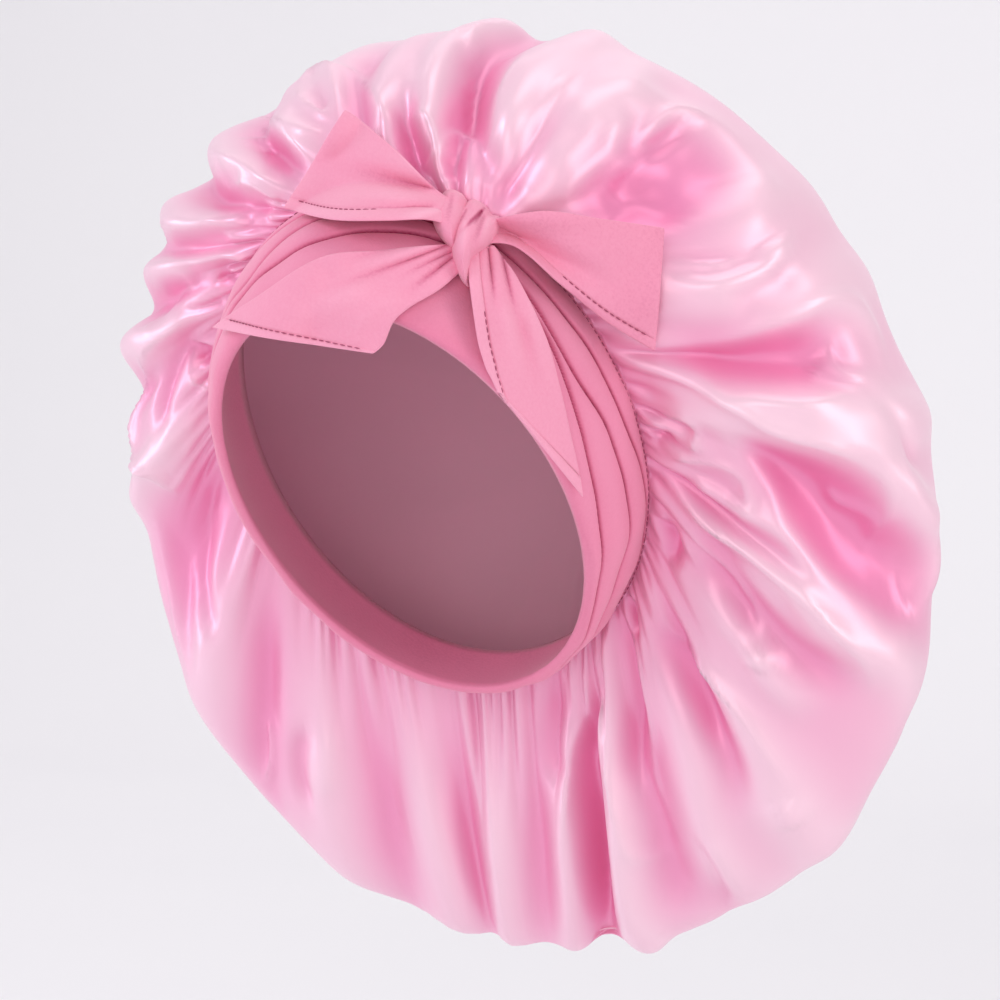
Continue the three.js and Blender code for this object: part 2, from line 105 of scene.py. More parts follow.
def makeMesh(name, points, faces, material, depth=None):
    # faces: arrays of corner numbers, one row a face. A closed form whose volume comes out below nothing is
    # inside out, and is turned. depth says how far a place lies in a valley, -1, or on a crest, 1. The
    # materials turn it into painted shade in the valleys and painted light on the crests.
    points = np.asarray(points, float) * millimetre
    volume = 0
    for face in faces:
        for i in range(1, face.shape[1] - 1):
            a, b, c = (points[face[:, k]] for k in (0, i, i + 1))
            volume += np.einsum("ij,ij->", a, np.cross(b, c))
    if volume < 0:
        faces = [face[:, ::-1] for face in faces]
    mesh = bpy.data.meshes.new(name)
    mesh.from_pydata(points.tolist(), [], sum((face.tolist() for face in faces), []))
    mesh.polygons.foreach_set("use_smooth", np.ones(len(mesh.polygons), bool))
    if depth is not None:
        mesh.attributes.new("depth", "FLOAT", "POINT").data.foreach_set("value", np.ravel(depth))
    mesh.materials.append(material)
    mesh.update()
    piece = bpy.data.objects.new(name, mesh)
    bpy.context.scene.collection.objects.link(piece)
    return piece


def wallMesh(name, front, back, depth, material, around=False, tips=None):
    # a closed wall: the front grid, the back grid and a strip along each open edge between them. Where it's
    # round, the back may have fewer rows, and fewer columns by a whole number, and the places on it are
    # marked as inside. tips close the last rows, one point for each side.
    (rows, columns), (backRows, backColumns) = front.shape[:2], back.shape[:2]
    behind = rows * columns
    total = behind + backRows * backColumns
    lastFront, lastBack = (rows - 1) * columns, behind + (backRows - 1) * backColumns
    step = columns // backColumns
    j = np.arange(backColumns if around else backColumns - 1)
    k = (j + 1) % backColumns

    def strip(frontFirst, backFirst):
        near = [(j * step + n) % columns + frontFirst for n in range(step + 1)]
        return np.stack([*near, k + backFirst, j + backFirst], -1)

    faces = [gridFaces(rows, columns, 0, around), gridFaces(backRows, backColumns, behind, around, flip=True)]
    faces.append(strip(0, behind)[:, ::-1])
    points = [front.reshape(-1, 3), back.reshape(-1, 3)]
    if tips is None:
        faces.append(strip(lastFront, lastBack))
    else:
        points.append(np.asarray(tips, float))
        i = np.arange(columns)
        faces.append(np.stack([lastFront + i, lastFront + (i + 1) % columns, np.full(columns, total)], -1))
        faces.append(np.stack([lastBack + k, lastBack + j, np.full(len(j), total + 1)], -1))
    if not around:
        i = np.arange(rows - 1) * columns
        faces.append(np.stack([i, i + columns, behind + i + columns, behind + i], -1))
        i = i + columns - 1
        faces.append(np.stack([behind + i, behind + i + columns, i + columns, i], -1))
    inner = np.full(len(points[1]) + (0 if tips is None else 2), paintedBackShade)
    made = makeMesh(name, np.concatenate(points), faces, material, np.concatenate([depth.ravel(), inner]))
    if around:
        inside = np.zeros(len(made.data.vertices))
        inside[behind:total] = 1
        made.data.attributes.new("inside", "FLOAT", "POINT").data.foreach_set("value", inside)
    return made


def gridNormals(points):
    # the cross product of the two directions of the grid
    return unit(np.cross(np.gradient(points, axis=1), np.gradient(points, axis=0)))


# Materials
class Value:
    # a socket that sums can be written with: each sum adds one Math node
    def __init__(self, maker, socket):
        self.maker, self.socket = maker, socket

    def __add__(self, other):
        return self.maker.maths("ADD", self, other)

    def __sub__(self, other):
        return self.maker.maths("SUBTRACT", self, other)

    def __rsub__(self, other):
        return self.maker.maths("SUBTRACT", other, self)

    def __mul__(self, other):
        return self.maker.maths("MULTIPLY", self, other)

    __radd__ = __add__
    __rmul__ = __mul__


class Finish:
    # one material and the way its nodes are added
    def __init__(self, name):
        self.material = bpy.data.materials.new(name)
        self.material.use_nodes = True
        self.tree = self.material.node_tree
        self.tree.nodes.clear()

    def add(self, kind, settings=None, inputs=None, output=0):
        made = self.tree.nodes.new(kind)
        for key, value in (settings or {}).items():
            if key == "stops":
                for index, (place, colour) in enumerate(value):
                    stops = made.color_ramp.elements
                    stop = stops[index] if index < len(stops) else stops.new(place)
                    stop.position, stop.color = place, colour
            else:
                setattr(made, key, value)
        for key, value in (inputs or {}).items():
            if isinstance(value, Value):
                self.tree.links.new(value.socket, made.inputs[key])
            else:
                made.inputs[key].default_value = value
        return Value(self, made.outputs[output])

    def maths(self, operation, *values):
        return self.add("ShaderNodeMath", {"operation": operation}, dict(enumerate(values)))

    def place(self):
        return self.add("ShaderNodeTexCoord", output="Object")

    def noise(self, place, scale, detail=2.0, roughness=0.5):
        inputs = {"Vector": place, "Scale": scale, "Detail": detail, "Roughness": roughness}
        return self.add("ShaderNodeTexNoise", inputs=inputs)

    def mixed(self, share, first, second):
        inputs = {0: share, 6: first, 7: second}
        return self.add("ShaderNodeMix", {"data_type": "RGBA"}, inputs, output=2)

    def raised(self, height, strength, distance):
        inputs = {"Height": height, "Strength": strength, "Distance": distance}
        return self.add("ShaderNodeBump", inputs=inputs)

    def surface(self, inputs):
        shader = self.add("ShaderNodeBsdfPrincipled", inputs=inputs)
        output = self.tree.nodes.new("ShaderNodeOutputMaterial")
        self.tree.links.new(shader.socket, output.inputs["Surface"])
        return self.material

    def attribute(self, name):
        return self.add("ShaderNodeAttribute", {"attribute_name": name}, output=2)

    def depth(self):
        # the mesh's own depth, brought from -1 to 1 into 0 to 1: the share that sets painted shade and
        # painted light
        return self.attribute("depth") * 0.5 + 0.5

    def ramp(self, share, stops):
        return self.add("ShaderNodeValToRGB", {"stops": stops}, {"Fac": share})


satin = {
    # valley, colour and crest, picked by the depth, are painted shade and painted light: deep pink for shaded
    # valleys, pale for lit crests
    "valley": (0.87, 0.27, 0.50, 1),
    "colour": (0.90, 0.45, 0.63, 1),
    "crest": (0.93, 0.63, 0.75, 1),
    # inside is partly the wrong side's own tone and partly painted light, for the light bouncing round inside
    # the crown
    "inside": (0.97, 0.56, 0.70, 1),
    "stops": (0.04, 0.46, 0.95),
    "patchScale": 9,
    "patchShare": 0.16,
    "crinkleScale": 60,
    "crinkleBump": (0.06, 0.001),
    "roughness": 0.34,
    "crinkleRoughness": 0.06,
    "insideRoughness": 0.35,
    "metallic": 0.28,
    "specular": 0.55,
    "sheen": 0.1,
}


def satinFinish():
    # glossy pink satin with painted shade and painted light: deeper pink in the valleys, standing in for the
    # light the cloth bounces onto itself, and paler on the crests, standing in for the light they catch.
    # Its wrong side, which the crown shows inside, is matte. Its pink is paler than the front's, partly the
    # wrong side's own tone and partly painted light, standing in for the light that bounces round inside the
    # crown.
    finish = Finish("satin_pink")
    place = finish.place()
    patch = finish.noise(place, satin["patchScale"])
    fine = finish.noise(place, satin["crinkleScale"], 1)
    # painted shade and painted light: the depth sets the pink, and the patches add the cloth's own drift of
    # tone
    share = finish.depth() + (patch - 0.5) * satin["patchShare"]
    colours = [satin["valley"], satin["colour"], satin["crest"]]
    colour = finish.ramp(share, list(zip(satin["stops"], colours)))
    inside = finish.attribute("inside")
    rough = satin["roughness"] + satin["crinkleRoughness"] * fine
    return finish.surface({
        "Base Color": finish.mixed(inside, colour, satin["inside"]),
        "Roughness": rough + satin["insideRoughness"] * inside,
        "Metallic": satin["metallic"] - satin["metallic"] * inside,
        "Specular IOR Level": satin["specular"],
        "Sheen Weight": satin["sheen"],
        "Normal": finish.raised(fine, *satin["crinkleBump"]),
    })


jersey = {
    # crease and crest, picked by the depth, are painted shade and painted light: dark rose in the creases,
    # paler pink on top
    "crease": (0.48, 0.05, 0.16, 1),
    "colour": (0.84, 0.30, 0.45, 1),
    "crest": (0.90, 0.40, 0.55, 1),
    "stops": (0.0, 0.42, 0.75),
    "patchScale": 14,
    "patchShare": 0.3,
    "knitScale": 900,
    "knitShare": 0.2,
    "knitBump": (0.25, 0.0006),
    "roughness": 0.78,
    "knitRoughness": 0.1,
    "specular": 0.3,
    "sheen": 0.25,
}


def jerseyFinish(name, deeper):
    # matte stretch jersey: soft sheen, a fine knit grain, a slight drift of colour, and painted shade that
    # darkens the creases, with painted light that makes the crests paler
    finish = Finish(name)
    place = finish.place()
    patch = finish.noise(place, jersey["patchScale"])
    grain = finish.noise(place, jersey["knitScale"], 2)
    share = finish.depth() + (patch - 0.5) * jersey["patchShare"] + (grain - 0.5) * jersey["knitShare"]
    # deeper scales every colour; below 1 it is painted shade, for a shaded copy of the jersey
    colours = [tuple(np.array(jersey[name]) * (*deeper, 1)) for name in ("crease", "colour", "crest")]
    return finish.surface({
        "Base Color": finish.ramp(share, list(zip(jersey["stops"], colours))),
        "Roughness": jersey["roughness"] + jersey["knitRoughness"] * grain,
        "Sheen Weight": jersey["sheen"],
        "Specular IOR Level": jersey["specular"],
        "Normal": finish.raised(grain, *jersey["knitBump"]),
    })


thread = {
    "dark": (0.32, 0.05, 0.12, 1),
    "light": (0.45, 0.09, 0.18, 1),
    "grainScale": 700,
    "roughness": 0.6,
    "grainRoughness": 0.1,
}


def threadFinish():
    # matte sewing thread, darker and lighter along its grain
    finish = Finish("thread_rose")
    grain = finish.noise(finish.place(), thread["grainScale"])
    return finish.surface({
        "Base Color": finish.mixed(grain, thread["dark"], thread["light"]),
        "Roughness": thread["roughness"] + thread["grainRoughness"] * grain,
    })


satinPink, threadRose = satinFinish(), threadFinish()
jerseyPink = jerseyFinish("jersey_pink", (1, 1, 1))
jerseyShaded = jerseyFinish("jersey_shaded", (0.92, 0.70, 0.79))  # painted shade: a deeper copy of the jersey for the band, which lies in shade
print("bonnet: materials made")


# Camera, light and stage
view = {
    "azimuth": 24,
    "elevation": 3.5,
    "distance": 1500,
    "aimRight": 37.69,
    "aimUp": 2.31,
    "pixelsPerMillimetre": 2.6,
    "imageWidth": 1000,
    "sensor": 36,
    "clipEnd": 20,
}


def setCamera():
    # the lens gives view's scale at the aim's distance: lens over sensor is distance over field width
    azimuth, elevation = math.radians(view["azimuth"]), math.radians(view["elevation"])
    right = Vector((math.cos(azimuth), math.sin(azimuth), 0))
    back = Vector((
        math.sin(azimuth) * math.cos(elevation),
        -math.cos(azimuth) * math.cos(elevation),
        math.sin(elevation),
    ))
    up = back.cross(right)
    aim = right * view["aimRight"] + up * view["aimUp"]
    field = view["imageWidth"] / view["pixelsPerMillimetre"]
    camera = bpy.data.cameras.new("camera")
    camera.sensor_width = view["sensor"]
    camera.lens = view["sensor"] * view["distance"] / field
    camera.clip_end = view["clipEnd"]
    made = bpy.data.objects.new("camera", camera)
    made.location = (aim + back * view["distance"]) * millimetre
    made.rotation_euler = back.to_track_quat("Z", "Y").to_euler()
    bpy.context.scene.collection.objects.link(made)
    bpy.context.scene.camera = made


# each lamp's name, place, aim and size in metres, power in watts, and colour
cool, warm, plain = (0.93, 0.92, 1), (1, 0.95, 0.9), (1, 0.98, 0.98)
lamps = [
    ("key", (-1.1, -1.5, 1.3), (0, 0, 0.05), (0.7, 0.7), 10, cool),
    ("front", (0.5, -2.2, 0.4), (0.03, 0, 0), (1.6, 1.2), 8.5, warm),
    ("right", (1.8, -0.3, 0.5), (0.05, 0, 0), (0.7, 1.6), 8.5, warm),
    ("top", (0.3, 0.3, 1.7), (0, 0, 0), (1.0, 1.0), 4, warm),
    ("left", (-1.8, -0.2, 0.1), (0, 0, 0), (0.5, 1.2), 6, cool),
    ("backdrop", (-0.9, 1.7, 2.2), (-1.6, 2.9, 0.1), (2.6, 0.8), 16, plain),
]
studio = {"colour": (0.93, 0.92, 0.95, 1), "strength": 0.72}


def setLight():
    # each lamp is a rectangle that faces its aim, and the world gives the rest
    for name, place, aim, size, power, colour in lamps:
        light = bpy.data.lights.new(name, "AREA")
        light.shape = "RECTANGLE"
        light.size, light.size_y = size
        light.energy = power
        light.color = colour
        made = bpy.data.objects.new(name, light)
        made.location = place
        made.rotation_euler = (Vector(aim) - Vector(place)).to_track_quat("-Z", "Y").to_euler()
        bpy.context.scene.collection.objects.link(made)
    world = bpy.data.worlds.new("studio")
    world.use_nodes = True
    background = world.node_tree.nodes["Background"]
    background.inputs["Color"].default_value = studio["colour"]
    background.inputs["Strength"].default_value = studio["strength"]
    bpy.context.scene.world = world
    bpy.context.scene.view_settings.view_transform = "Standard"


stage = {
    "floor": -420,
    "back": 3000,
    "front": -4200,
    "side": 4200,
    "bend": 900,
    "bendPoints": 24,
    "height": 3600,
    "colours": ((0.86, 0.85, 0.87, 1), (0.88, 0.87, 0.885, 1)),
    "speckScale": 3,
    "roughness": 0.9,
}


def setStage():
    # one sheet: level at the floor, a quarter circle, and straight up behind
    turn = np.linspace(0, np.pi / 2, stage["bendPoints"])
    bendY = stage["back"] - stage["bend"] * (1 - np.sin(turn))
    bendZ = stage["bend"] * (1 - np.cos(turn))
    y = np.concatenate([[stage["front"]], bendY, [stage["back"]]])
    z = np.concatenate([[0], bendZ, [stage["height"]]]) + stage["floor"]
    x = np.array([-stage["side"], stage["side"]])
    points = np.stack(np.broadcast_arrays(x[None, :], y[:, None], z[:, None]), -1)
    finish = Finish("stage_pale")
    speck = finish.noise(finish.place(), stage["speckScale"])
    material = finish.surface({
        "Base Color": finish.mixed(speck, *stage["colours"]),
        "Roughness": stage["roughness"],
    })
    quads = gridFaces(len(y), 2, 0, False)
    makeMesh("studio_floor", points.reshape(-1, 3), [quads], material)


setCamera()
setLight()
setStage()
print("bonnet: camera, light and stage set")


# The two edges of the band
opening = {"width": 148, "height": 212, "tilt": 49, "middle": (0, 0, 0)}
seam = {"width": 172, "height": 220, "tilt": 59, "middle": (0, 34, 27)}
band = {
    "bulgeRadius": 90,
    "thickness": 4.2,
    "rollHeight": 1.1,
    "rollFull": 0.25,
    "creaseDepth": 2.4,
    "creaseWidth": 0.013,
    "creaseShade": 1.5,
    "ripple": 0.25,
    "edgeWidth": 0.05,
    "edgeDrop": 1.8,
    "sunk": 0.6,
    "seamAt": 0.965,
    "seamRaised": -0.1,
    "around": 560,
    "across": 110,
    "inside": 8,
}


def ellipse(edge, angle):
    # a flat ellipse tipped back by its tilt: x is half the width times the sine of the angle
    a, tilt = np.radians(angle), math.radians(edge["tilt"])
    up = edge["height"] / 2 * np.cos(a)
    flat = [edge["width"] / 2 * np.sin(a), -up * math.cos(tilt), up * math.sin(tilt)]
    return np.stack(flat, -1) + np.array(edge["middle"], float)


def bandFrame(angle):
    # the face edge, the chord from there to the seam edge as a direction and a length, and the way out of the
    # band: the cross product of a step round and the chord
    low = ellipse(opening, angle)
    chord = ellipse(seam, angle) - low
    width = np.linalg.norm(chord, axis=-1, keepdims=True)
    around = sum(ellipse(edge, angle + 1) - ellipse(edge, angle - 1) for edge in (opening, seam))
    return low, chord / width, width, unit(np.cross(around, chord))


def bandPoint(angle, across, raised=0.0):
    # the chord from edge to edge, bulged like an arc of bulgeRadius, and raised off it
    low, along, width, out = bandFrame(angle)
    s = np.asarray(across)[..., None]
    bulge = width**2 / (2 * band["bulgeRadius"]) * s * (1 - s)
    return low + along * width * s + out * (bulge + np.asarray(raised)[..., None])


# The crown
puff = {"radius": 170, "depth": 80, "lean": 8, "middle": (12, 92, 12), "seamGap": 0.3}
crownGrid = {
    "around": 640,
    "rows": 118,
    "crowding": 1.3,
    "wall": 1.5,
    "inset": 2.2,
    "insetReach": 0.2,
    "tuck": 2.2,
    "tuckAt": 0.97,
}
rim = table("at share", [
    [0, 1.03], [24, 1.01], [48, 0.975], [72, 0.965], [96, 1.02], [120, 1.09], [144, 1.15], [168, 1.19],
    [192, 1.19], [216, 1.16], [240, 1.08], [264, 1], [288, 1.01], [312, 1.035], [336, 1.04],
])
swing = table("at turn", [
    [0, -20], [20, -19], [35, -12], [50, -4], [75, 6], [90, 12], [105, 20], [125, 27],
    [150, 21], [180, 4], [210, -18], [235, -27], [260, -23], [290, -20], [320, -20], [340, -20],
])
# at and wide in degrees at the seam, high as a share of the radius, start and end along the crown: 0 at the
# seam, 1 at the widest ring, 2 at the back's middle. turn is how far the fold moves round.
folds = table("at wide high start end turn", [
    [1, 4, 0.035, 0.3, 1.3, 0], [6, 3, -0.03, 0.2, 0.9, 0], [11.5, 3.5, 0.03, 0.15, 1.1, -1],
    [14.5, 2.4, -0.045, 0.02, 0.5, 0], [18, 3, 0.045, 0.04, 1.4, 0], [22.5, 2.6, -0.055, 0.04, 1.3, -1],
    [28.5, 3, 0.045, 0.04, 1.4, 0], [31.5, 2.4, -0.03, 0.02, 0.6, 0], [35, 3, 0.04, 0.05, 1.1, 0],
    [45, 5.5, -0.055, 0.12, 0.95, 0], [51, 4, 0.02, 0.3, 1.3, 0], [60, 4, 0.03, 0.1, 1.3, 1],
    [69.5, 4.4, -0.035, 0.08, 0.8, 0], [75, 3, 0.045, 0.02, 1.3, 0], [79, 2.8, 0.055, 0.02, 0.9, 0],
    [81.5, 6, -0.085, 0.22, 1.15, 15], [84, 3.5, 0.025, 0.62, 1.05, 2], [91.5, 2.8, 0.03, 0.03, 0.45, 2],
    [95, 2.6, -0.03, 0.04, 0.45, 0], [99, 3, 0.05, 0.05, 1.2, -1], [103, 2.8, -0.035, 0.05, 0.7, 0],
    [107, 3, 0.03, 0.08, 0.6, 0], [116, 4, 0.04, 0.08, 1.3, 0], [120.5, 3, -0.04, 0.04, 0.6, 0],
    [126, 4, 0.03, 0.1, 1.3, 0], [129, 3.5, -0.03, 0.6, 1.3, -3], [136, 4, -0.035, 0.08, 0.9, 0],
    [146, 4.5, 0.05, 0.04, 1.4, 0], [152.5, 4, -0.075, 0.04, 1.3, 2], [160, 5, 0.03, 0.1, 1.3, 0],
    [171, 5, -0.03, 0.1, 1.2, 0], [183, 6, 0.035, 0.1, 1.3, 0], [196, 5, -0.035, 0.08, 1.2, 0],
    [209, 6, 0.03, 0.1, 1.3, 0], [222, 5, -0.03, 0.08, 1.2, 0], [234, 5, 0.03, 0.1, 1.3, 0],
    [247, 3.6, -0.04, 0.06, 1, -2], [257, 5, 0.03, 0.15, 1.3, 0], [270, 7, -0.06, 0.04, 0.75, 0],
    [283, 4, 0.045, 0.1, 0.9, 3], [292, 5, 0.035, 0.6, 1.4, 0], [299, 3.5, -0.045, 0.25, 1.3, 0],
    [306, 4, 0.05, 0.06, 1.3, 0], [313.5, 3, -0.045, 0.04, 1.2, 0], [319, 3, 0.03, 0.04, 1.2, 0],
    [323, 2.6, -0.03, 0.06, 1, 0], [328, 3.6, 0.05, 0.06, 1.3, 0], [334.5, 3, -0.055, 0.03, 1.3, 0],
    [341, 4, 0.05, 0.05, 1.3, 0], [348, 3, -0.04, 0.04, 1, 0], [354, 3.5, 0.03, 0.06, 1, 0],
])
# the shares of its length over which a fold rises and falls, how far out from the seam all of them rise, how
# much they wander in degrees, and between which places along the crown they fade to what is kept
foldEnds = {"begin": 0.3, "end": 0.35, "seam": 0.1, "wander": 0.9, "fullTo": 0.45, "keptFrom": 0.95}
# how much of the folds is kept at the widest ring, at each angle
keep = table("at share", [
    [0, 0.6], [18, 0.75], [40, 0.8], [75, 0.9], [110, 0.85], [140, 0.7], [170, 0.45], [240, 0.5], [275, 0.6],
    [300, 0.35], [345, 0.35],
])
curlEnds = {"fade": 0.3, "least": 0.15, "reach": 14, "pinched": 4.2, "steps": 10}
# finer folds along curved lines: height and half width in millimetres, then the line's points, each an angle
# and a place along the crown
curls = [
    [2.6, 3.5, 30, 0.13, 31, 0.28, 31, 0.46, 31, 0.6, 31, 0.72],
    [3.2, 4.6, 39, 0.16, 39, 0.31, 39, 0.46, 38, 0.56, 38, 0.65],
    [-2.5, 4.6, 35, 0.14, 35, 0.28, 35, 0.43, 35, 0.54],
    [4.5, 3.8, 42, 0.34, 41, 0.46, 41, 0.54, 40, 0.65, 40, 0.75, 41, 0.82, 42, 0.85],
    [-4, 3.5, 42, 0.43, 41, 0.55, 41, 0.64, 41, 0.74, 42, 0.8],
    [-4.5, 10.0, 43, 0.31, 44, 0.44, 47, 0.47, 51, 0.46],
    [3.5, 10.0, 34, 0.64, 38, 0.73, 42, 0.84, 49, 0.8, 54, 0.77],
    [3, 11.5, 47, 0.75, 51, 0.69, 56, 0.65],
    [-1.6, 2.3, 53, 0.34, 55, 0.45, 56, 0.56, 55, 0.67],
    [2, 2.3, 54, 0.32, 56, 0.44, 56, 0.58, 56, 0.68, 54, 0.8],
    [-2.2, 2.7, 55, 0.32, 57, 0.42, 57, 0.53, 57, 0.62],
    [3.2, 4.6, 56, 0.29, 58, 0.4, 58, 0.53, 57, 0.65, 55, 0.8],
    [-2.5, 6.2, 58, 0.71, 60, 0.59, 61, 0.49, 62, 0.38],
    [3.8, 4.6, 65, 0.08, 67, 0.17, 67, 0.32, 65, 0.49, 64, 0.6, 63, 0.72, 64, 0.84, 67, 0.91, 70, 0.89],
    [-5, 8.5, 70, 0.11, 70, 0.25, 69, 0.41, 68, 0.58, 68, 0.68, 71, 0.67],
    [2.2, 2.7, 66, 0.72, 68, 0.69, 70, 0.68, 71, 0.73, 71, 0.83],
    [3.6, 3.8, 72, 0.07, 72, 0.21, 74, 0.28, 74, 0.37, 74, 0.5, 73, 0.64, 72, 0.81],
    [4.5, 3.8, 73, 0.07, 73, 0.15, 74, 0.22, 76, 0.31, 78, 0.38, 79, 0.5, 80, 0.58, 81, 0.63],
    [-5, 9.2, 80, 0.1, 79, 0.2, 81, 0.29, 85, 0.34, 88, 0.4, 91, 0.49, 94, 0.58, 95, 0.71],
    [3, 3.1, 84, 0.53, 86, 0.53, 86, 0.63, 87, 0.67, 90, 0.64],
    [2.5, 2.7, 81, 0.63, 82, 0.69, 85, 0.71, 87, 0.69, 90, 0.65],
    [7, 7.7, 79, 0.73, 84, 0.82, 90, 0.97, 95, 0.82],
    [-2.5, 3.8, 73, 0.74, 78, 0.82, 81, 0.85],
    [4, 4.6, 84, 0.16, 83, 0.25, 87, 0.32, 91, 0.36, 94, 0.45, 95, 0.57, 96, 0.73],
    [2.6, 2.7, 86, 0.02, 81, 0.11, 81, 0.16, 85, 0.15, 88, 0.11],
    [-2.5, 3.1, 89, 0.02, 85, 0.1],
    [2.6, 3.1, 94, 0.01, 89, 0.11, 87, 0.19, 87, 0.25, 89, 0.27, 91, 0.27, 95, 0.23],
    [-3.5, 5.4, 97, 0.03, 91, 0.14, 91, 0.21, 93, 0.22],
    [3.6, 2.7, 98, 0.05, 98, 0.1, 98, 0.16, 97, 0.25, 97, 0.33, 97, 0.43, 98, 0.51, 99, 0.6, 101, 0.68],
    [-4.5, 5.0, 101, 0.11, 100, 0.19, 99, 0.26, 99, 0.33, 100, 0.41, 101, 0.5],
    [2, 3.8, 95, 0.38, 97, 0.46, 98, 0.58],
    [3.2, 3.5, 105, 0.02, 103, 0.1, 103, 0.15, 103, 0.23, 104, 0.29, 105, 0.33, 106, 0.37],
    [-5, 5.8, 107, 0.09, 106, 0.18, 106, 0.24, 106, 0.29, 109, 0.3],
    [3.5, 6.9, 106, 0.35, 108, 0.38],
    [-5, 3.8, 105, 0.04, 109, 0.07, 113, 0.08],
    [3.2, 3.1, 120, 0.02, 121, 0.08, 121, 0.16, 116, 0.28, 114, 0.4, 114, 0.52, 114, 0.65],
    [-5, 5.4, 123, 0.09, 123, 0.19, 121, 0.31, 121, 0.42],
    [4, 7.7, 116, 0.59, 116, 0.7],
    [-4, 2.7, 131, 0.01, 133, 0.09],
    [-5, 4.2, 136, 0.01, 136, 0.09, 137, 0.18, 140, 0.28, 139, 0.39],
    [3.5, 3.5, 141, 0.01, 146, 0.09, 146, 0.22, 144, 0.36, 142, 0.51, 134, 0.55],
    [-6, 3.8, 149, 0.04, 148, 0.12, 155, 0.25, 155, 0.4, 154, 0.62, 151, 0.98],
    [3, 3.5, 154, 0.03, 152, 0.13, 157, 0.21, 159, 0.33, 160, 0.41],
    [-4, 6.2, 160, 0.05, 165, 0.18, 161, 0.3],
    [2.5, 3.5, 134, 0.08, 133, 0.21, 136, 0.34, 133, 0.52],
    [-1.5, 1.9, 130, 0.52, 128, 0.64, 130, 0.96],
    [2, 5.4, 127, 0.53, 126, 0.67, 128, 0.94],
    [-6, 5.8, 28, 0.12, 27, 0.25, 23, 0.48, 21, 0.67, 20, 0.84],
    [4, 3.1, 23, 0.26, 22, 0.42, 21, 0.56, 20, 0.73, 19, 0.83, 20, 0.93, 21, 1.05],
    [3, 3.8, 28, 0.16, 27, 0.3, 26, 0.48, 26, 0.61, 26, 0.73],
    [3, 3.1, 357, 0.59, 357, 0.71, 359, 0.72, 2, 0.63, 3, 0.48, 2, 0.35],
    [-3, 3.5, 359, 0.61, 0, 0.47, 359, 0.44],
    [3, 3.8, 1, 0.67, 5, 0.63, 10, 0.39, 11, 0.31],
    [2.5, 3.1, 356, 0.6, 358, 0.47, 1, 0.37],
    [-4, 3.5, 14, 0.36, 16, 0.23, 17, 0.16],
    [2.5, 2.3, 13, 0.38, 18, 0.32, 19, 0.25, 18, 0.15],
    [2.5, 2.3, 18, 0.11, 20, 0.22, 22, 0.34, 24, 0.31, 24, 0.2],
    [-3, 2.7, 21, 0.09, 21, 0.22],
    [-3.5, 3.5, 345, 0.9, 346, 0.89, 354, 0.54],
    [2.5, 3.1, 345, 0.77, 354, 0.38, 0, 0.31],
    [2.6, 2.3, 345, 0.38, 346, 0.56, 351, 0.45, 353, 0.29, 353, 0.17],
    [-3, 3.1, 347, 0.46, 349, 0.44, 351, 0.25],
    [3, 3.1, 340, 0.5, 342, 0.37, 343, 0.29, 343, 0.2, 343, 0.1],
    [-3.5, 3.8, 339, 0.45, 339, 0.34, 341, 0.26],
    [2.5, 2.3, 336, 0.42, 339, 0.27, 340, 0.2, 339, 0.12, 338, 0.08],
    [3, 3.1, 321, 0.62, 325, 0.54, 327, 0.32, 329, 0.24, 328, 0.17],
    [-2.5, 2.7, 322, 0.54, 325, 0.33, 325, 0.21, 323, 0.12],
    [-3.5, 4.6, 328, 0.15, 332, 0.13, 334, 0.08],
    [2.6, 2.7, 320, 0.39, 319, 0.22, 320, 0.12, 317, 0.04, 315, 0.01],
    [-3.5, 3.1, 316, 0.09, 312, 0.09, 311, 0.01],
    [-2.5, 2.3, 309, 0.25, 306, 0.12, 305, 0.04],
    [-4, 4.6, 307, 0.39, 310, 0.41, 309, 0.28],
    [3, 6.2, 316, 0.56, 317, 0.33, 313, 0.21],
    [
        4, 3.5, 283, 0.18, 278, 0.25, 278, 0.35, 283, 0.41, 292, 0.63, 297, 0.64, 301, 0.46, 304, 0.26,
        306, 0.19, 304, 0.06,
    ],
    [-4.5, 4.2, 287, 0.35, 292, 0.35, 297, 0.28, 300, 0.21, 302, 0.15],
    [-5, 5.4, 298, 0.14, 291, 0.11],
    [2.5, 2.7, 294, 0.19, 289, 0.14, 285, 0.07],
    [-4.5, 5.8, 268, 0.22, 265, 0.35, 260, 0.39, 256, 0.44],
    [3, 3.8, 280, 0.53, 273, 0.6, 267, 0.62, 260, 0.65],
    [3.5, 3.1, 246, 0.44, 245, 0.56, 247, 0.79],
    [-4, 4.6, 237, 0.33, 239, 0.44, 239, 0.53, 237, 0.61],
    [2, 4.6, 232, 0.3, 233, 0.41, 234, 0.51],
]
# number round, height in millimetres, and where along the crown each family of gathers is highest
gathers = table("number high peak", [[104, 1.0, 0.015], [58, 1.8, 0.05], [33, 1.9, 0.13]])
gatherEnds = {"seam": 0.06, "fullTo": 0.2, "gone": 0.5, "drift": 1.6}
wrinkles = {"along": 0.12, "across": 0.1}
billow = {"height": 3.4, "start": 0.95, "full": 1.35, "round": 0.12}
# the satin's painted shade and painted light: the height at which it's near its palest, how much the gathers
# and billows count, and how much paler it is at the widest ring and deeper at the seam
crownShade = {
    "height": 6,
    "gathered": 0.7,
    "billowed": 0.5,
    "widest": 0.5,
    "widestWidth": 0.25,
    "seam": 0.6,
    "seamWidth": 0.08,
}
lean = math.radians(puff["lean"])
puffUp = np.array([0, -math.sin(lean), math.cos(lean)])
puffBack = np.array([0, math.cos(lean), math.sin(lean)])
puffMiddle = np.array(puff["middle"], float)


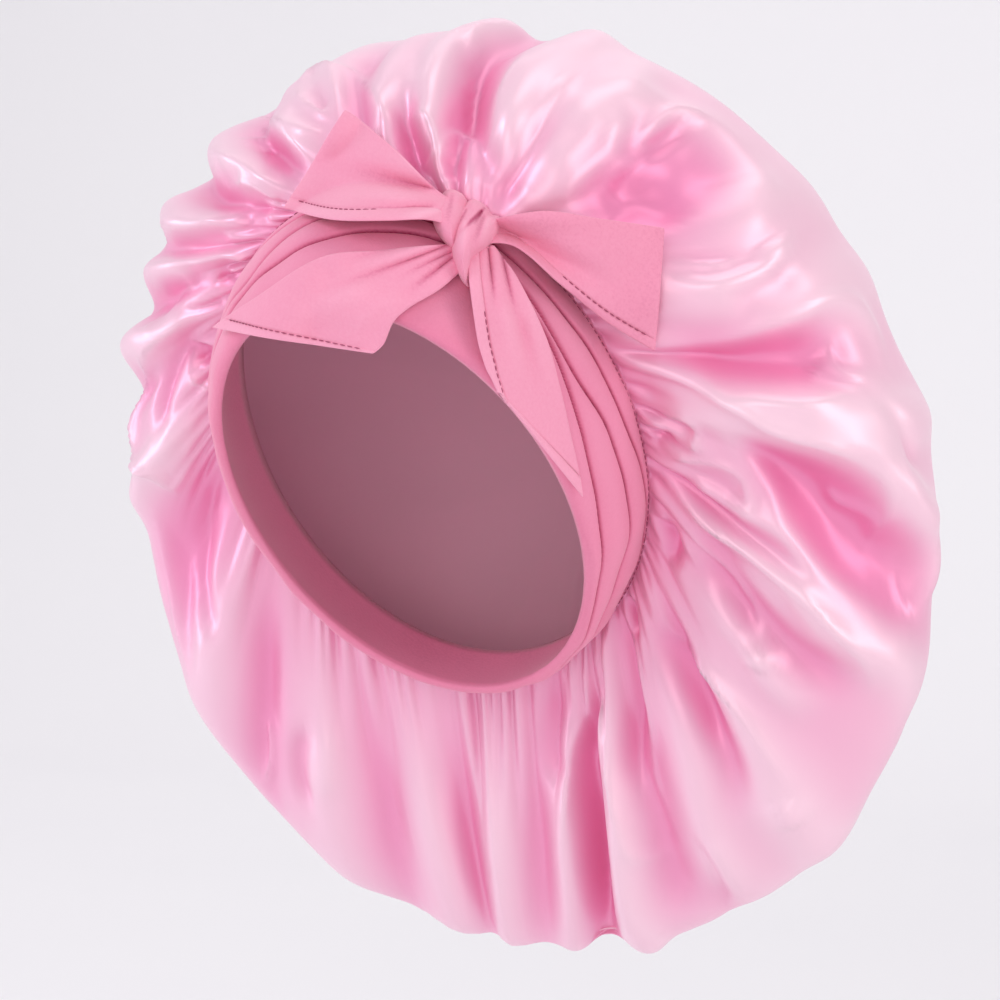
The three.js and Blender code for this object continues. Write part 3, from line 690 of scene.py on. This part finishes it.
def crownBase(angle, t):
    # a quarter ellipse from the seam out to the widest ring, t from 0 to 1, and another from there in to
    # the middle of the back, t from 1 to 2
    start = ellipse(seam, angle) + bandFrame(angle)[1] * puff["seamGap"]
    turned = angle + readTable(swing, "turn", angle, 360)
    radius = (puff["radius"] * readTable(rim, "share", turned, 360))[..., None]
    a = np.radians(turned)[..., None]
    widest = puffMiddle + radius * (np.sin(a) * np.array([1.0, 0, 0]) + np.cos(a) * puffUp)
    reach = widest - start
    back = (reach @ puffBack)[..., None] * puffBack
    rise = (np.clip(t, 0, 1) * np.pi / 2)[..., None]
    sink = (np.clip(t - 1, 0, 1) * np.pi / 2)[..., None]
    front = start + (reach - back) * np.sin(rise) + back * (1 - np.cos(rise))
    rear = puffMiddle + (widest - puffMiddle) * np.cos(sink) + puffBack * puff["depth"] * np.sin(sink)
    return np.where((t <= 1)[..., None], front, rear)


def crownOut(angle, t):
    # the way out of the crown: the cross product of a step round and a step along
    here = crownBase(angle, t)
    return unit(np.cross(crownBase(angle + 1, t) - here, crownBase(angle, t + 0.01) - here))


def foldHeight(angle, t):
    # each fold is a bell across, that rises and falls along its length
    height = np.zeros(angle.shape)
    wander = foldEnds["wander"] * ripples(angle, t, 11, 14, (3, 14), (-2.2, 2.2))
    for i in range(len(folds["at"])):
        at, wide, high, start, end, turn = (folds[name][i] for name in "at wide high start end turn".split())
        share = np.clip((t - start) / (end - start), 0, 1)
        away = (angle - at - turn * share + wander * share + 180) % 360 - 180
        fade = smooth(0, foldEnds["begin"], share) * smooth(0, foldEnds["end"], 1 - share)
        height += high * puff["radius"] * fade * np.exp(-((away / wide) ** 2))
    lost = (1 - readTable(keep, "share", angle, 360)) * smooth(foldEnds["fullTo"], foldEnds["keptFrom"], t)
    return height * (1 - lost) * smooth(0, foldEnds["seam"], t)


def curlHeight(angle, places):
    # each curl is a bell across its line, lower towards the line's two ends. A narrow crest is pinched
    # instead: it falls off to each side like the exponential of the distance.
    height = np.zeros(angle.shape)
    for high, wide, *line in curls:
        line = np.array(line, float).reshape(-1, 2)
        rows = {"at": np.arange(len(line)), "angle": np.unwrap(line[:, 0], period=360), "t": line[:, 1]}
        u = np.linspace(0, len(line) - 1, curlEnds["steps"] * len(line))
        path = crownBase(readTable(rows, "angle", u), readTable(rows, "t", u))
        middle, spread = rows["angle"].mean(), np.ptp(rows["angle"]) / 2 + curlEnds["reach"]
        near = np.abs((angle - middle + 180) % 360 - 180) < spread
        away = np.linalg.norm(places[near][:, None] - path, axis=-1)
        nearest = away.argmin(-1)
        share = u[nearest] / u[-1]
        fade = smooth(0, curlEnds["fade"], share) * smooth(0, curlEnds["fade"], 1 - share)
        fade = curlEnds["least"] + (1 - curlEnds["least"]) * fade
        away = away.min(-1) / wide
        pinched = np.exp(-1.5 * (np.sqrt(away**2 + 0.05) - 0.22))
        crisp = high > 0 and wide < curlEnds["pinched"]
        height[near] += high * fade * (pinched if crisp else np.exp(-(away**2)))
    return height


def gatherHeight(angle, t):
    # rounded ridges with narrow valleys, the square root of a squared cosine, whose spacing wanders. The
    # finest family is highest at the seam itself.
    height = np.zeros(angle.shape)
    for i in range(len(gathers["number"])):
        number, high, peak = gathers["number"][i], gathers["high"][i], gathers["peak"][i]
        drift = gatherEnds["drift"] * ripples(angle, t * 0, 20 + i, 12, (2, 17), (0, 0.01))
        strength = 0.7 + 0.3 * ripples(angle, t, 30 + i, 12, (3, 24), (-0.5, 0.5))
        turned = np.radians(angle) * number / 2 + drift
        ridge = 2 * np.sqrt(np.cos(turned) ** 2 + 0.03) - 1.3
        if i == 0:
            swell = np.exp(-((t / gatherEnds["seam"]) ** 2))
        else:
            left = 1 - smooth(gatherEnds["fullTo"], gatherEnds["gone"], t)
            swell = t / peak * np.exp(1 - t / peak) * left
        height += high * strength * ridge * swell
    return height


def wrinkleHeight(angle, t):
    # thin ridges, 1 minus the size of soft noise, some along the folds and some across them, in patches
    along = 1 - np.abs(ripples(angle, t, 41, 26, (14, 46), (-1.4, 1.4)))
    across = 1 - np.abs(ripples(angle, t, 42, 26, (4, 15), (1.5, 3.6)))
    patches = smooth(-0.4, 1.2, ripples(angle, t, 43, 16, (2, 7), (-1.2, 1.2)))
    reach = smooth(0.03, 0.2, t) * (1 - 0.4 * smooth(1.2, 1.9, t))
    lengthways = wrinkles["along"] * np.maximum(along, -0.5)
    return reach * (lengthways + wrinkles["across"] * patches * np.maximum(across, -0.3))


def billowHeight(angle, t):
    # soft crests over the back, each 1 minus the rounded size of broad noise, gone at the back's middle
    broad = ripples(angle, t, 44, 18, (2, 7), (-1.3, 1.3))
    swell = 1 - 1.4 * np.sqrt(broad**2 + billow["round"])
    return billow["height"] * swell * smooth(billow["start"], billow["full"], t) * smooth(0.05, 0.5, 2 - t)


def makeCrown():
    # the outside is the base pushed out by the sum of the folds, gathers and wrinkles, and starts with a row
    # tucked into the band
    angle = 360 * np.arange(crownGrid["around"]) / crownGrid["around"]
    rows = crownGrid["rows"]
    t = 2 * (np.arange(rows) / rows) ** crownGrid["crowding"]
    angle, t = (grid.copy() for grid in np.broadcast_arrays(angle[None, :], t[:, None]))
    base, out = crownBase(angle, t), crownOut(angle, t)
    billowed = billowHeight(angle, t)
    folded = foldHeight(angle, t) + curlHeight(angle, base) + billowed
    gathered = gatherHeight(angle, t)
    front = base + out * (folded + gathered + wrinkleHeight(angle, t))[..., None]
    # the wrong side is a coarser grid, and follows the lowest fold nearby to stay behind the outside
    bunched = crownGrid["wall"] + crownGrid["inset"] * np.exp(-t / crownGrid["insetReach"])
    low = folded
    for axis in (0, 1):
        low = np.minimum.reduce([low, np.roll(low, 1, axis), np.roll(low, -1, axis)])
    back = (base + out * (low - bunched)[..., None])[::2, ::2]
    first = np.ones(angle[:1].shape)
    tuck = bandPoint(angle[:1], first * crownGrid["tuckAt"], first * -crownGrid["tuck"])
    front = np.concatenate([tuck, front])
    # painted shade: deeper pink at the seam, where the bunched cloth shades itself, and painted light: paler
    # where it's fullest, at the widest ring, which catches the light
    # relief: the folds, gathers and billows, weighted, whose height picks painted shade in the valleys and
    # painted light on the crests
    relief = folded + crownShade["gathered"] * gathered - crownShade["billowed"] * billowed
    widest = crownShade["widest"] * np.exp(-(((t - 1) / crownShade["widestWidth"]) ** 2))
    depth = np.tanh(relief / crownShade["height"])
    depth += widest - crownShade["seam"] * np.exp(-t / crownShade["seamWidth"])
    depth = np.concatenate([depth[:1], depth])
    tip = puffMiddle + puffBack * puff["depth"]
    tips = [tip + puffBack * folded[-1].mean(), tip + puffBack * (folded[-1].mean() - crownGrid["wall"])]
    crown = wallMesh("crown_satin", front, back, depth, satinPink, around=True, tips=tips)
    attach(crown, "root")
    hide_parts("crown")
    return crown


crown = makeCrown()
print("bonnet: crown made,", len(crown.data.polygons), "faces")


# The headband
creases = table("at low middle high", [
    [0, 0.5, 0.72, 0.87], [20, 0.62, 0.76, 0.88], [40, 0.62, 0.72, 0.84], [55, 0.54, 0.6, 0.8],
    [66, 0.42, 0.54, 0.81], [80, 0.28, 0.575, 0.79], [95, 0.2, 0.59, 0.88], [108, 0.14, 0.58, 0.94],
    [120, 0.1, 0.42, 0.95], [135, 0.1, 0.36, 0.9], [180, 0.2, 0.5, 0.8], [230, 0.22, 0.48, 0.76],
    [285, 0.24, 0.5, 0.78], [315, 0.27, 0.44, 0.8], [330, 0.31, 0.42, 0.82], [342, 0.37, 0.62, 0.84],
])


def makeBand():
    # rolls of cloth between creases: each roll is an arch, each crease a narrow bell sunk into it
    angle = 360 * np.arange(band["around"]) / band["around"]
    across = np.linspace(0, 1, band["across"] + 1)
    angle, across = (grid.copy() for grid in np.broadcast_arrays(angle[None, :], across[:, None]))
    lines = [readTable(creases, name, angle, 360) for name in ("low", "middle", "high")]
    lines = [np.zeros(angle.shape), *lines, np.ones(angle.shape)]
    raised = np.zeros(angle.shape)
    for low, high in zip(lines, lines[1:]):
        share = np.clip((across - low) / np.maximum(high - low, 0.02), 0, 1)
        inside = (across >= low) & (across < high)
        roll = band["rollHeight"] * np.minimum(1, (high - low) / band["rollFull"])
        raised += np.where(inside, roll * 4 * share * (1 - share), 0)
    # painted light and painted shade: the depth makes the rolls' tops paler and the creases darker
    depth = raised / band["rollHeight"] * 0.5
    for line in lines[1:-1]:
        crease = np.exp(-(((across - line) / band["creaseWidth"]) ** 2))
        raised -= band["creaseDepth"] * crease
        depth -= band["creaseShade"] * crease
    raised += band["ripple"] * ripples(angle, across, 51, 18, (5, 26), (-0.8, 0.8))
    # the edge at the face rolls over in a quarter round
    share = np.clip(across / band["edgeWidth"], 0, 1)
    raised = (raised + band["edgeDrop"]) * np.sqrt(1 - (1 - share) ** 2) - band["edgeDrop"]
    front = bandPoint(angle, across, raised - band["sunk"])
    inner = np.linspace(0, 1, band["inside"] + 1)
    angle, inner = (grid.copy() for grid in np.broadcast_arrays(angle[:1], inner[:, None]))
    back = bandPoint(angle, inner, np.full(inner.shape, -band["thickness"]))
    made = wallMesh("headband_jersey", front, back, np.clip(depth, -1, 1), jerseyShaded, around=True)
    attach(made, "root")
    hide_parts("headband")
    return made


headband = makeBand()
print("bonnet: headband made")


# The bow: a frame that stands upright on the band, x sideways, y up, z out of the front
bow = {"at": 29, "across": 0.72, "turn": 24}
bowTurn = math.radians(bow["turn"])
bowAxes = np.array([
    [math.cos(bowTurn), math.sin(bowTurn), 0],
    [0, 0, 1],
    [math.sin(bowTurn), -math.cos(bowTurn), 0],
])
bowMiddle = bandPoint(np.array(bow["at"]), np.array(bow["across"]))
tie = {
    "width": 64,
    "wall": 1.3,
    "thinnest": 0.12,
    "loopReach": 72,
    "tailReach": 82,
    "fall": 40,
    "root": 0.45,
    "rootReach": 0.3,
    "knotDepth": 22,
    "knotReach": 20,
    "hem": 4.2,
    "hemStep": 0.5,
    "hemEdge": 0.7,
    "hemCrease": 0.6,
    "narrow": 2,
    "shade": 2.6,
    "broadShade": 0.35,
}
loop = {"openMiddle": 6, "openFold": 4, "foldPower": 10, "rootShare": 0.7}
drapeOver = {
    "from": -80,
    "to": 110,
    "every": 2,
    "clear": 2.4,
    "crownClear": 3.4,
    "radius": 9,
    "steepest": 0.3,
    "soft": 1,
}


def toBow(points):
    # how far a point lies from the bow's middle along each of its axes
    return (points - bowMiddle) @ bowAxes.T


def fromBow(points):
    # the bow's middle and the sum of its axes, each times its own distance
    return points @ bowAxes + bowMiddle


def crownCrests(angle, t):
    # a cloth on the crown rests on its crests and spans its valleys
    return crownBase(angle, t) + crownOut(angle, t) * np.maximum(foldHeight(angle, t), 0)[..., None]


def fallPoint(angle, share):
    # straight down from the band's lower edge
    points = ellipse(opening, angle)
    return points - np.array([0, 0, tie["fall"]]) * share[..., None]


def restingPoints():
    # points of the band, the crown behind it and the fall below it, each pushed clear of its surface, with
    # the surface's slope there. Each place has its end, the step along it, and how far off it cloth lies.
    rows = []
    angles = np.arange(drapeOver["from"], drapeOver["to"], drapeOver["every"], float)
    places = [
        (bandPoint, 1, 0.08, drapeOver["clear"]),
        (crownCrests, 0.55, 0.03, drapeOver["crownClear"]),
        (fallPoint, 1, 0.1, drapeOver["clear"]),
    ]
    for place, end, step, clear in places:
        angle, t = (grid.ravel() for grid in np.meshgrid(angles, np.arange(0, end + 1e-6, step)))
        here = toBow(place(angle, t))
        side, down = toBow(place(angle + 1, t)) - here, toBow(place(angle, t + step / 4)) - here
        normal = unit(np.cross(side, down))
        normal = normal * np.where(normal[:, 2:] < 0, -1, 1)
        faces = normal[:, 2] > drapeOver["steepest"]
        lean = np.where(faces[:, None], -normal[:, :2] / np.maximum(normal[:, 2:], 0.1), 0)
        rows.append(np.concatenate([here + normal * clear, lean], -1))
    return np.concatenate(rows)


resting = restingPoints()


def drape(x, y):
    # the soft highest of the round caps that touch the resting points' slopes: the logarithm of a sum of
    # powers stands in for the greatest
    heights = np.empty(x.shape)
    for index in range(len(x)):
        dx = x[index][:, None] - resting[:, 0]
        dy = y[index][:, None] - resting[:, 1]
        caps = resting[:, 2] + resting[:, 3] * dx + resting[:, 4] * dy
        caps -= (dx * dx + dy * dy) / (2 * drapeOver["radius"])
        top = caps.max(-1)
        spare = np.exp((caps - top[:, None]) / drapeOver["soft"]).sum(-1)
        heights[index] = top + drapeOver["soft"] * np.log(spare) - drapeOver["soft"] * 2
    return heights


def lineFolds(x, y, rows):
    # each fold is a bell across a straight line. It is full at its start, where that is at the knot, and gone
    # at its end.
    height = np.zeros(x.shape)
    for x0, y0, x1, y1, wide, high in rows:
        dx, dy = x1 - x0, y1 - y0
        share = np.clip(((x - x0) * dx + (y - y0) * dy) / (dx * dx + dy * dy), 0, 1)
        away = np.hypot(x - x0 - share * dx, y - y0 - share * dy)
        spread = wide * (0.75 + 0.5 * share)
        fade = 1 - smooth(0.15, 1, share)
        if math.hypot(x0, y0) > tie["knotReach"]:
            fade = fade * smooth(0, 0.3, share)
        height += high * fade * np.exp(-((away / spread) ** 2))
    return height


def sections(rows):
    return table("at x y span turn lift", rows)


# at: 0 in the knot, 1 at the far end. x, y: shares of the reach. span: share of the tie's width. turn:
# degrees. lift: share of the knot's depth. folds: start x, y, end x, y, half width and height.
ties = {
    "tie_tail_left": {
        "sections": sections([
            [0, 0.05, -0.02, 0.16, 5, 0.5],
            [0.2, 0.11, -0.17, 0.28, 4, 0.45],
            [0.45, 0.19, -0.42, 0.4, -2, 0.15],
            [0.65, 0.24, -0.6, 0.46, -18, 0.05],
            [0.83, 0.28, -0.74, 0.57, -36, 0],
            [1, 0.33, -0.92, 0.78, -52, 0],
        ]),
        "folds": [
            [6.9, -2.6, 9.5, -26, 1.1, -3], [10.6, 1.1, 18, -32, 1.2, -3], [16.2, -21.9, 28, -62, 2.6, -1.8],
            [11.3, -18, 20, -56, 3, 1.8], [18.8, -10, 35, -66, 3.2, 1.8], [14, 2, 26, -20, 1.3, -2],
        ],
        "hems": ("low side", "end"),
        "stitched": {"low side": (0.3, 0.94)},
    },
    "tie_tail_right": {
        "sections": sections([
            [0, -0.02, -0.05, 0.14, 100, 0.3],
            [0.2, -0.16, -0.11, 0.26, 108, 0.18],
            [0.4, -0.34, -0.16, 0.38, 122, 0.04],
            [0.6, -0.5, -0.21, 0.56, 138, 0],
            [0.8, -0.66, -0.34, 0.77, 158, 0],
            [1, -0.81, -0.44, 0.98, 172, 0],
        ]),
        "folds": [
            [-7, 3, -52, -8, 1.3, -1.6], [-7, -0.5, -58, -20, 1.5, -1.9], [-6.5, -6, -26, -21, 1.5, -2],
            [-6.5, -3.5, -30, -15, 1.2, -1.5], [-12, -1, -54, -13, 2.8, 1.8],
            [-30, -15, -78, -30, 4.5, 1.8], [-22, -18, -50, -36, 4, 1.4], [-26, -20, -44, -38, 3, -1],
        ],
        "hems": ("end",),
        "stitched": {"end": (-0.9, 0.95)},
    },
    "bow_loop_left": {
        "sections": sections([
            [0, 0.04, 0.05, 0.12, 100, 0.34],
            [0.2, 0.21, 0.06, 0.18, 106, 0.24],
            [0.42, 0.43, -0.02, 0.42, 99, 0.08],
            [0.7, 0.69, -0.14, 0.6, 94, 0.02],
            [1, 0.98, -0.24, 0.72, 86, 0],
        ]),
        "folds": [
            [12, 4.5, 66, -22, 4.2, -5], [13, 0.5, 72, -40, 4, 3], [12, 9, 62, 9, 4.5, 3],
            [48.5, -0.7, 74, -24, 6, -1.2], [12, 4.5, 34, -1, 1.3, -1.8], [13, 1.5, 32, -16, 1.4, -1.6],
        ],
        "hems": ("low side",),
        "stitched": {"low side": (0.42, 0.97)},
    },
    "bow_loop_right": {
        "sections": sections([
            [0, -0.03, 0.12, 0.14, 88, 0.5],
            [0.2, -0.19, 0.2, 0.19, 84, 0.4],
            [0.42, -0.39, 0.29, 0.4, 82, 0.15],
            [0.7, -0.62, 0.37, 0.59, 74, 0.05],
            [1, -0.81, 0.44, 0.68, 58, 0],
        ]),
        "folds": [
            [-10, 18.6, -58, 31, 3.6, -3.6], [-14, 15, -62, 21, 4.5, 2.4], [-14, 12.5, -50, 14, 2.6, -2.4],
            [-11.7, 21.6, -48, 44, 6, 2], [-10, 19, -30, 25, 1.2, -1.5], [-12.8, 11.5, -27, 7.4, 1.6, 1.8],
        ],
        "hems": ("low side",),
        "stitched": {"low side": (0.45, 0.97)},
    },
}
tieGrid = {"along": 110, "across": 72}


def tiePlace(cloth, reach, at, side):
    # a point of the middle line, and from there side times half the width, in the direction of the turn
    rows = cloth["sections"]
    turn = np.radians(readTable(rows, "turn", at))
    wide = tie["width"] * readTable(rows, "span", at)
    x = reach * readTable(rows, "x", at) + side * wide / 2 * np.cos(turn)
    y = reach * readTable(rows, "y", at) + side * wide / 2 * np.sin(turn)
    lift = tie["knotDepth"] * readTable(rows, "lift", at)
    lift = lift * (tie["root"] + (1 - tie["root"]) * smooth(0, tie["rootReach"], at))
    return x, y, lift, wide


def hemHeight(inward):
    # a turned edge: one layer more up to the hem's width, then a crease where it's stitched down
    layer = 1 - smooth(tie["hem"] - tie["hemEdge"], tie["hem"], inward)
    crease = np.exp(-(((inward - tie["hem"]) / 0.6) ** 2))
    return tie["hemStep"] * layer - tie["hemCrease"] * crease


def edgeDistances(reach, at, side, wide):
    # how far a place lies in from the low side, the high side and the far end
    return {"low side": (1 + side) / 2 * wide, "high side": (1 - side) / 2 * wide, "end": (1 - at) * reach}


def clothFolds(cloth, reach, at, side, x, y, wide):
    # broad folds shape the cloth and give it a little painted shade and light, and creases and hems give it
    # painted shade and light in full
    inward = edgeDistances(reach, at, side, wide)
    narrow = [row for row in cloth["folds"] if row[4] < tie["narrow"]]
    broad = [row for row in cloth["folds"] if row[4] >= tie["narrow"]]
    creased, folded = lineFolds(x, y, narrow), lineFolds(x, y, broad)
    for hem in cloth["hems"]:
        creased += hemHeight(inward[hem])
    return folded + creased, creased + tie["broadShade"] * folded, inward


def tailSurface(cloth, at, side):
    # the cloth lies on what is under it, raised by its lift and its folds
    x, y, lift, wide = tiePlace(cloth, tie["tailReach"], at, side)
    folded, creased, inward = clothFolds(cloth, tie["tailReach"], at, side, x, y, wide)
    return np.stack([x, y, drape(x, y) + lift + folded], -1), creased, inward


def loopSurface(cloth, along, side):
    # along from -1 to 1: the cloth goes out in front, turns round at the pressed fold, and comes back behind
    at = np.sin((1 - np.abs(along)) * np.pi / 2)
    x, y, lift, wide = tiePlace(cloth, tie["loopReach"], at, side)
    gap = loop["openFold"] * (loop["rootShare"] + (1 - loop["rootShare"]) * at)
    opened = (gap + loop["openMiddle"] * np.sin(np.pi * at) ** 2) * smooth(-0.15, 0.3, at)
    layer = np.where(along < 0, 1, -1) * np.sqrt(np.maximum(1 - at ** loop["foldPower"], 0))
    front = (1 + layer) / 2
    folded, creased, inward = clothFolds(cloth, tie["loopReach"], at, side, x, y, wide)
    return np.stack([x, y, drape(x, y) + lift + front * (opened + folded)], -1), front * creased, inward


def evenSides(count):
    # closer together at both edges, where the hems are
    s = np.linspace(-1, 1, count + 1)
    return 0.6 * s + 0.4 * np.sin(s * np.pi / 2)


def makeTie(name):
    # the wall's thickness goes round to almost nothing at the free edges
    cloth = ties[name]
    tail = name.startswith("tie_tail")
    if tail:
        along = np.sin(np.linspace(0, np.pi / 2, tieGrid["along"] + 1))
    else:
        along = np.linspace(-1, 1, 2 * tieGrid["along"] + 1)
    along, side = np.meshgrid(along, evenSides(tieGrid["across"]), indexing="ij")
    middle, creased, inward = (tailSurface if tail else loopSurface)(cloth, along, side)
    free = np.minimum(inward["low side"], inward["high side"])
    if tail:
        free = np.minimum(free, inward["end"])
    out = gridNormals(middle)
    if tail:
        out = out * np.where(out[..., 2:] < 0, -1, 1)
    edge = 1 - np.clip(free / tie["wall"], 0, 1)
    half = tie["wall"] / 2 * (tie["thinnest"] + (1 - tie["thinnest"]) * np.sqrt(1 - edge**2))[..., None]
    front, back = fromBow(middle + out * half), fromBow(middle - out * half)
    # the creases' depth becomes painted shade and painted light in the jersey
    made = wallMesh(name + "_jersey", front, back, np.tanh(creased / tie["shade"]), jerseyPink)
    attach(made, "root")
    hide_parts(name)
    return made


stitch = {
    "length": 2.1,
    "every": 2.9,
    "radius": 0.25,
    "rings": 5,
    "round": 6,
    "tapering": 1.15,
    "rise": 0.3,
    "proud": 0.1,
    "fill": 0.75,
    "steps": 120,
}


def makeStitches(name, path, out):
    # short rods along a path, each thicker at its middle: radius times the root of a number just over 1 minus
    # the share squared
    run = np.concatenate([[0], np.cumsum(np.linalg.norm(np.diff(path, axis=0), axis=1))])
    starts = np.arange(stitch["every"], run[-1] - stitch["every"], stitch["every"])

    def read(values, s):
        return np.stack([np.interp(s, run, values[:, i]) for i in range(3)], -1)

    first, last = read(path, starts), read(path, starts + stitch["length"])
    up = unit(read(out, starts + stitch["length"] / 2))
    ahead = unit(last - first)
    aside = unit(np.cross(ahead, up))
    share = np.linspace(-1, 1, stitch["rings"])
    turn = np.arange(stitch["round"]) * 2 * np.pi / stitch["round"]
    thick = stitch["radius"] * np.sqrt(stitch["tapering"] - share**2)
    ring = up[:, None, :] * np.cos(turn)[:, None] + aside[:, None, :] * np.sin(turn)[:, None]
    middle = (first + last) / 2 + up * (stitch["radius"] * stitch["rise"] + stitch["proud"])
    points = middle[:, None, None] + ahead[:, None, None] * (share * stitch["length"] / 2)[:, None, None]
    points = points + ring[:, None] * thick[:, None, None]
    one = gridFaces(stitch["rings"], stitch["round"], 0, True)
    each = stitch["rings"] * stitch["round"]
    shift = (np.arange(len(starts)) * each)[:, None, None]
    start = np.arange(stitch["round"])[::-1]
    ends = np.stack([start, each - 1 - start])
    faces = [(one + shift).reshape(-1, 4), (ends + shift).reshape(-1, stitch["round"])]
    made = makeMesh(name, points.reshape(-1, 3), faces, threadRose)
    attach(made, "root")
    return made


def hemStitches(name):
    # a line on the front of the cloth, a hem's width in from its edge
    cloth = ties[name]
    surface = tailSurface if name.startswith("tie_tail") else loopSurface
    share = np.linspace(0, 1, stitch["steps"])
    made = []
    for hem in cloth["stitched"]:
        start, end = cloth["stitched"][hem]
        if hem == "end":
            at = np.full(share.shape, 1 - tie["hem"] / tie["tailReach"])
            side = start + (end - start) * share
        else:
            at = start + (end - start) * share
            wide = tie["width"] * readTable(cloth["sections"], "span", at)
            side = 2 * tie["hem"] / wide - 1
        along = at if name.startswith("tie_tail") else np.arcsin(at) * 2 / np.pi - 1
        steps = ((0, 0), (0.02, 0), (0, 0.15))
        here, ahead, aside = (surface(cloth, (along + a)[None], (side + b)[None])[0][0] for a, b in steps)
        out = unit(np.cross(ahead - here, aside - here))
        out = out * np.where(out[:, 2:] < 0, -1, 1)
        raised = tie["wall"] / 2 / np.maximum(out[:, 2:], 0.35) + stitch["fill"]
        path = here + raised * np.array([0, 0, 1.0])
        label = f"{name}_stitches_{len(made) + 1}"
        made.append(makeStitches(label, fromBow(path), out @ bowAxes))
    return made


tiePieces = {name: makeTie(name) for name in ties}
hemPieces = {name: hemStitches(name) for name in ties}
print("bonnet: loops, tails and their stitches made")

seamAngle = np.linspace(0, 360, 721)
seamPath = bandPoint(seamAngle, np.full(721, band["seamAt"]), np.full(721, band["seamRaised"]))
seamStitches = makeStitches("seam_stitches", seamPath, bandFrame(seamAngle)[3])
print("bonnet: seam stitches made")

# each lump of the knot: its outline as points round it, its height, and its creases
knot = {
    "behind": {
        "outline": table("at x y", [
            [0, -8.4, 20], [1, -5, 19.7], [2, -1.7, 17.1], [3, 0.2, 10.4], [4, -2.8, 1.1], [5, -5.4, -2.6],
            [6, -9.1, 0], [7, -12.5, 4.8], [8, -13.9, 10], [9, -13.2, 14.1], [10, -11, 17.8],
        ]),
        "middle": (-7, 9),
        "height": 15.5,
        "creases": [[-6.5, 17.8, -9.1, 3, 1.5, -0.7]],
    },
    "before": {
        "outline": table("at x y", [
            [0, -1.3, 15.2], [1, 1.3, 16.4], [2, 3.9, 15.6], [3, 6.5, 13.4], [4, 8.4, 10.8], [5, 11, 10],
            [6, 12.1, 7.4], [7, 11, 3.3], [8, 6.9, -1.9], [9, 2, -5.6], [10, 0.2, -9.3], [11, 0.2, -16],
            [12, -2.4, -14.5], [13, -4.6, -10], [14, -6.5, -3.3], [15, -6.1, 5.6], [16, -3.9, 12.3],
        ]),
        "middle": (0.5, 4),
        "height": 19.5,
        "creases": [
            [5.4, 12.8, -7, 0, 0.8, -2], [4.3, 11.5, 1, 5.5, 0.8, -1.8], [5.4, 9.5, 1.3, -3, 1.5, -1],
            [-1.7, 6.7, -4.3, -9, 2, 1], [-1.3, 12.3, -6.5, 1, 0.7, -1.4], [7, 9, 3, -4, 1.8, 0.8],
        ],
    },
}
knotGrid = {"around": 140, "rings": 60, "shape": 2.6, "sunk": 2.2, "soft": 8.5, "pillow": 0.6, "shade": 1.5}


def makeKnot():
    # each lump is part dome, the root of 1 minus the share out to a power, and part pillow, a quarter round
    # by the distance from the outline
    points, faces, depths, first = [], [], [], 0
    for lump in knot.values():
        outline, middle = lump["outline"], np.array(lump["middle"], float)
        u = np.arange(knotGrid["around"]) * len(outline["at"]) / knotGrid["around"]
        rimX, rimY = (readTable(outline, name, u, len(outline["at"])) for name in ("x", "y"))
        share = np.sin(np.linspace(0, np.pi / 2, knotGrid["rings"] + 1))[1:, None]
        x = middle[0] + (rimX - middle[0]) * share
        y = middle[1] + (rimY - middle[1]) * share
        rimPoints = np.stack([rimX, rimY], -1)
        away = np.hypot(x[..., None] - rimPoints[:, 0], y[..., None] - rimPoints[:, 1]).min(-1)
        edge = 1 - np.clip(away / knotGrid["soft"], 0, 1)
        pillow, cap = np.sqrt(1 - edge**2), np.sqrt(1 - share ** knotGrid["shape"])
        dome = knotGrid["pillow"] * pillow + (1 - knotGrid["pillow"]) * cap
        folded = dome * lineFolds(x, y, lump["creases"])
        z = drape(x, y) - knotGrid["sunk"] + lump["height"] * dome + folded
        tops = np.array([[middle[0], middle[1], z[0].mean()], [middle[0], middle[1], z[-1].min()]])
        points.append(fromBow(np.concatenate([np.stack([x, y, z], -1).reshape(-1, 3), tops])))
        rows, columns = z.shape
        # painted shade in the knot's creases and painted light on its raised folds
        depths.append(np.concatenate([np.tanh(folded / knotGrid["shade"]).ravel(), [0, 0]]))
        faces.append(gridFaces(rows, columns, first, True))
        j = np.arange(columns)
        k = (j + 1) % columns
        top, bottom = first + rows * columns, first + rows * columns + 1
        last = first + (rows - 1) * columns
        faces.append(np.stack([k + first, j + first, np.full(columns, top)], -1))
        faces.append(np.stack([last + j, last + k, np.full(columns, bottom)], -1))
        first += rows * columns + 2
    made = makeMesh("tie_knot_jersey", np.concatenate(points), faces, jerseyPink, np.concatenate(depths))
    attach(made, "root")
    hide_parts("tie_knot")


makeKnot()
print("bonnet: knot made")
bpy.context.view_layer.update()
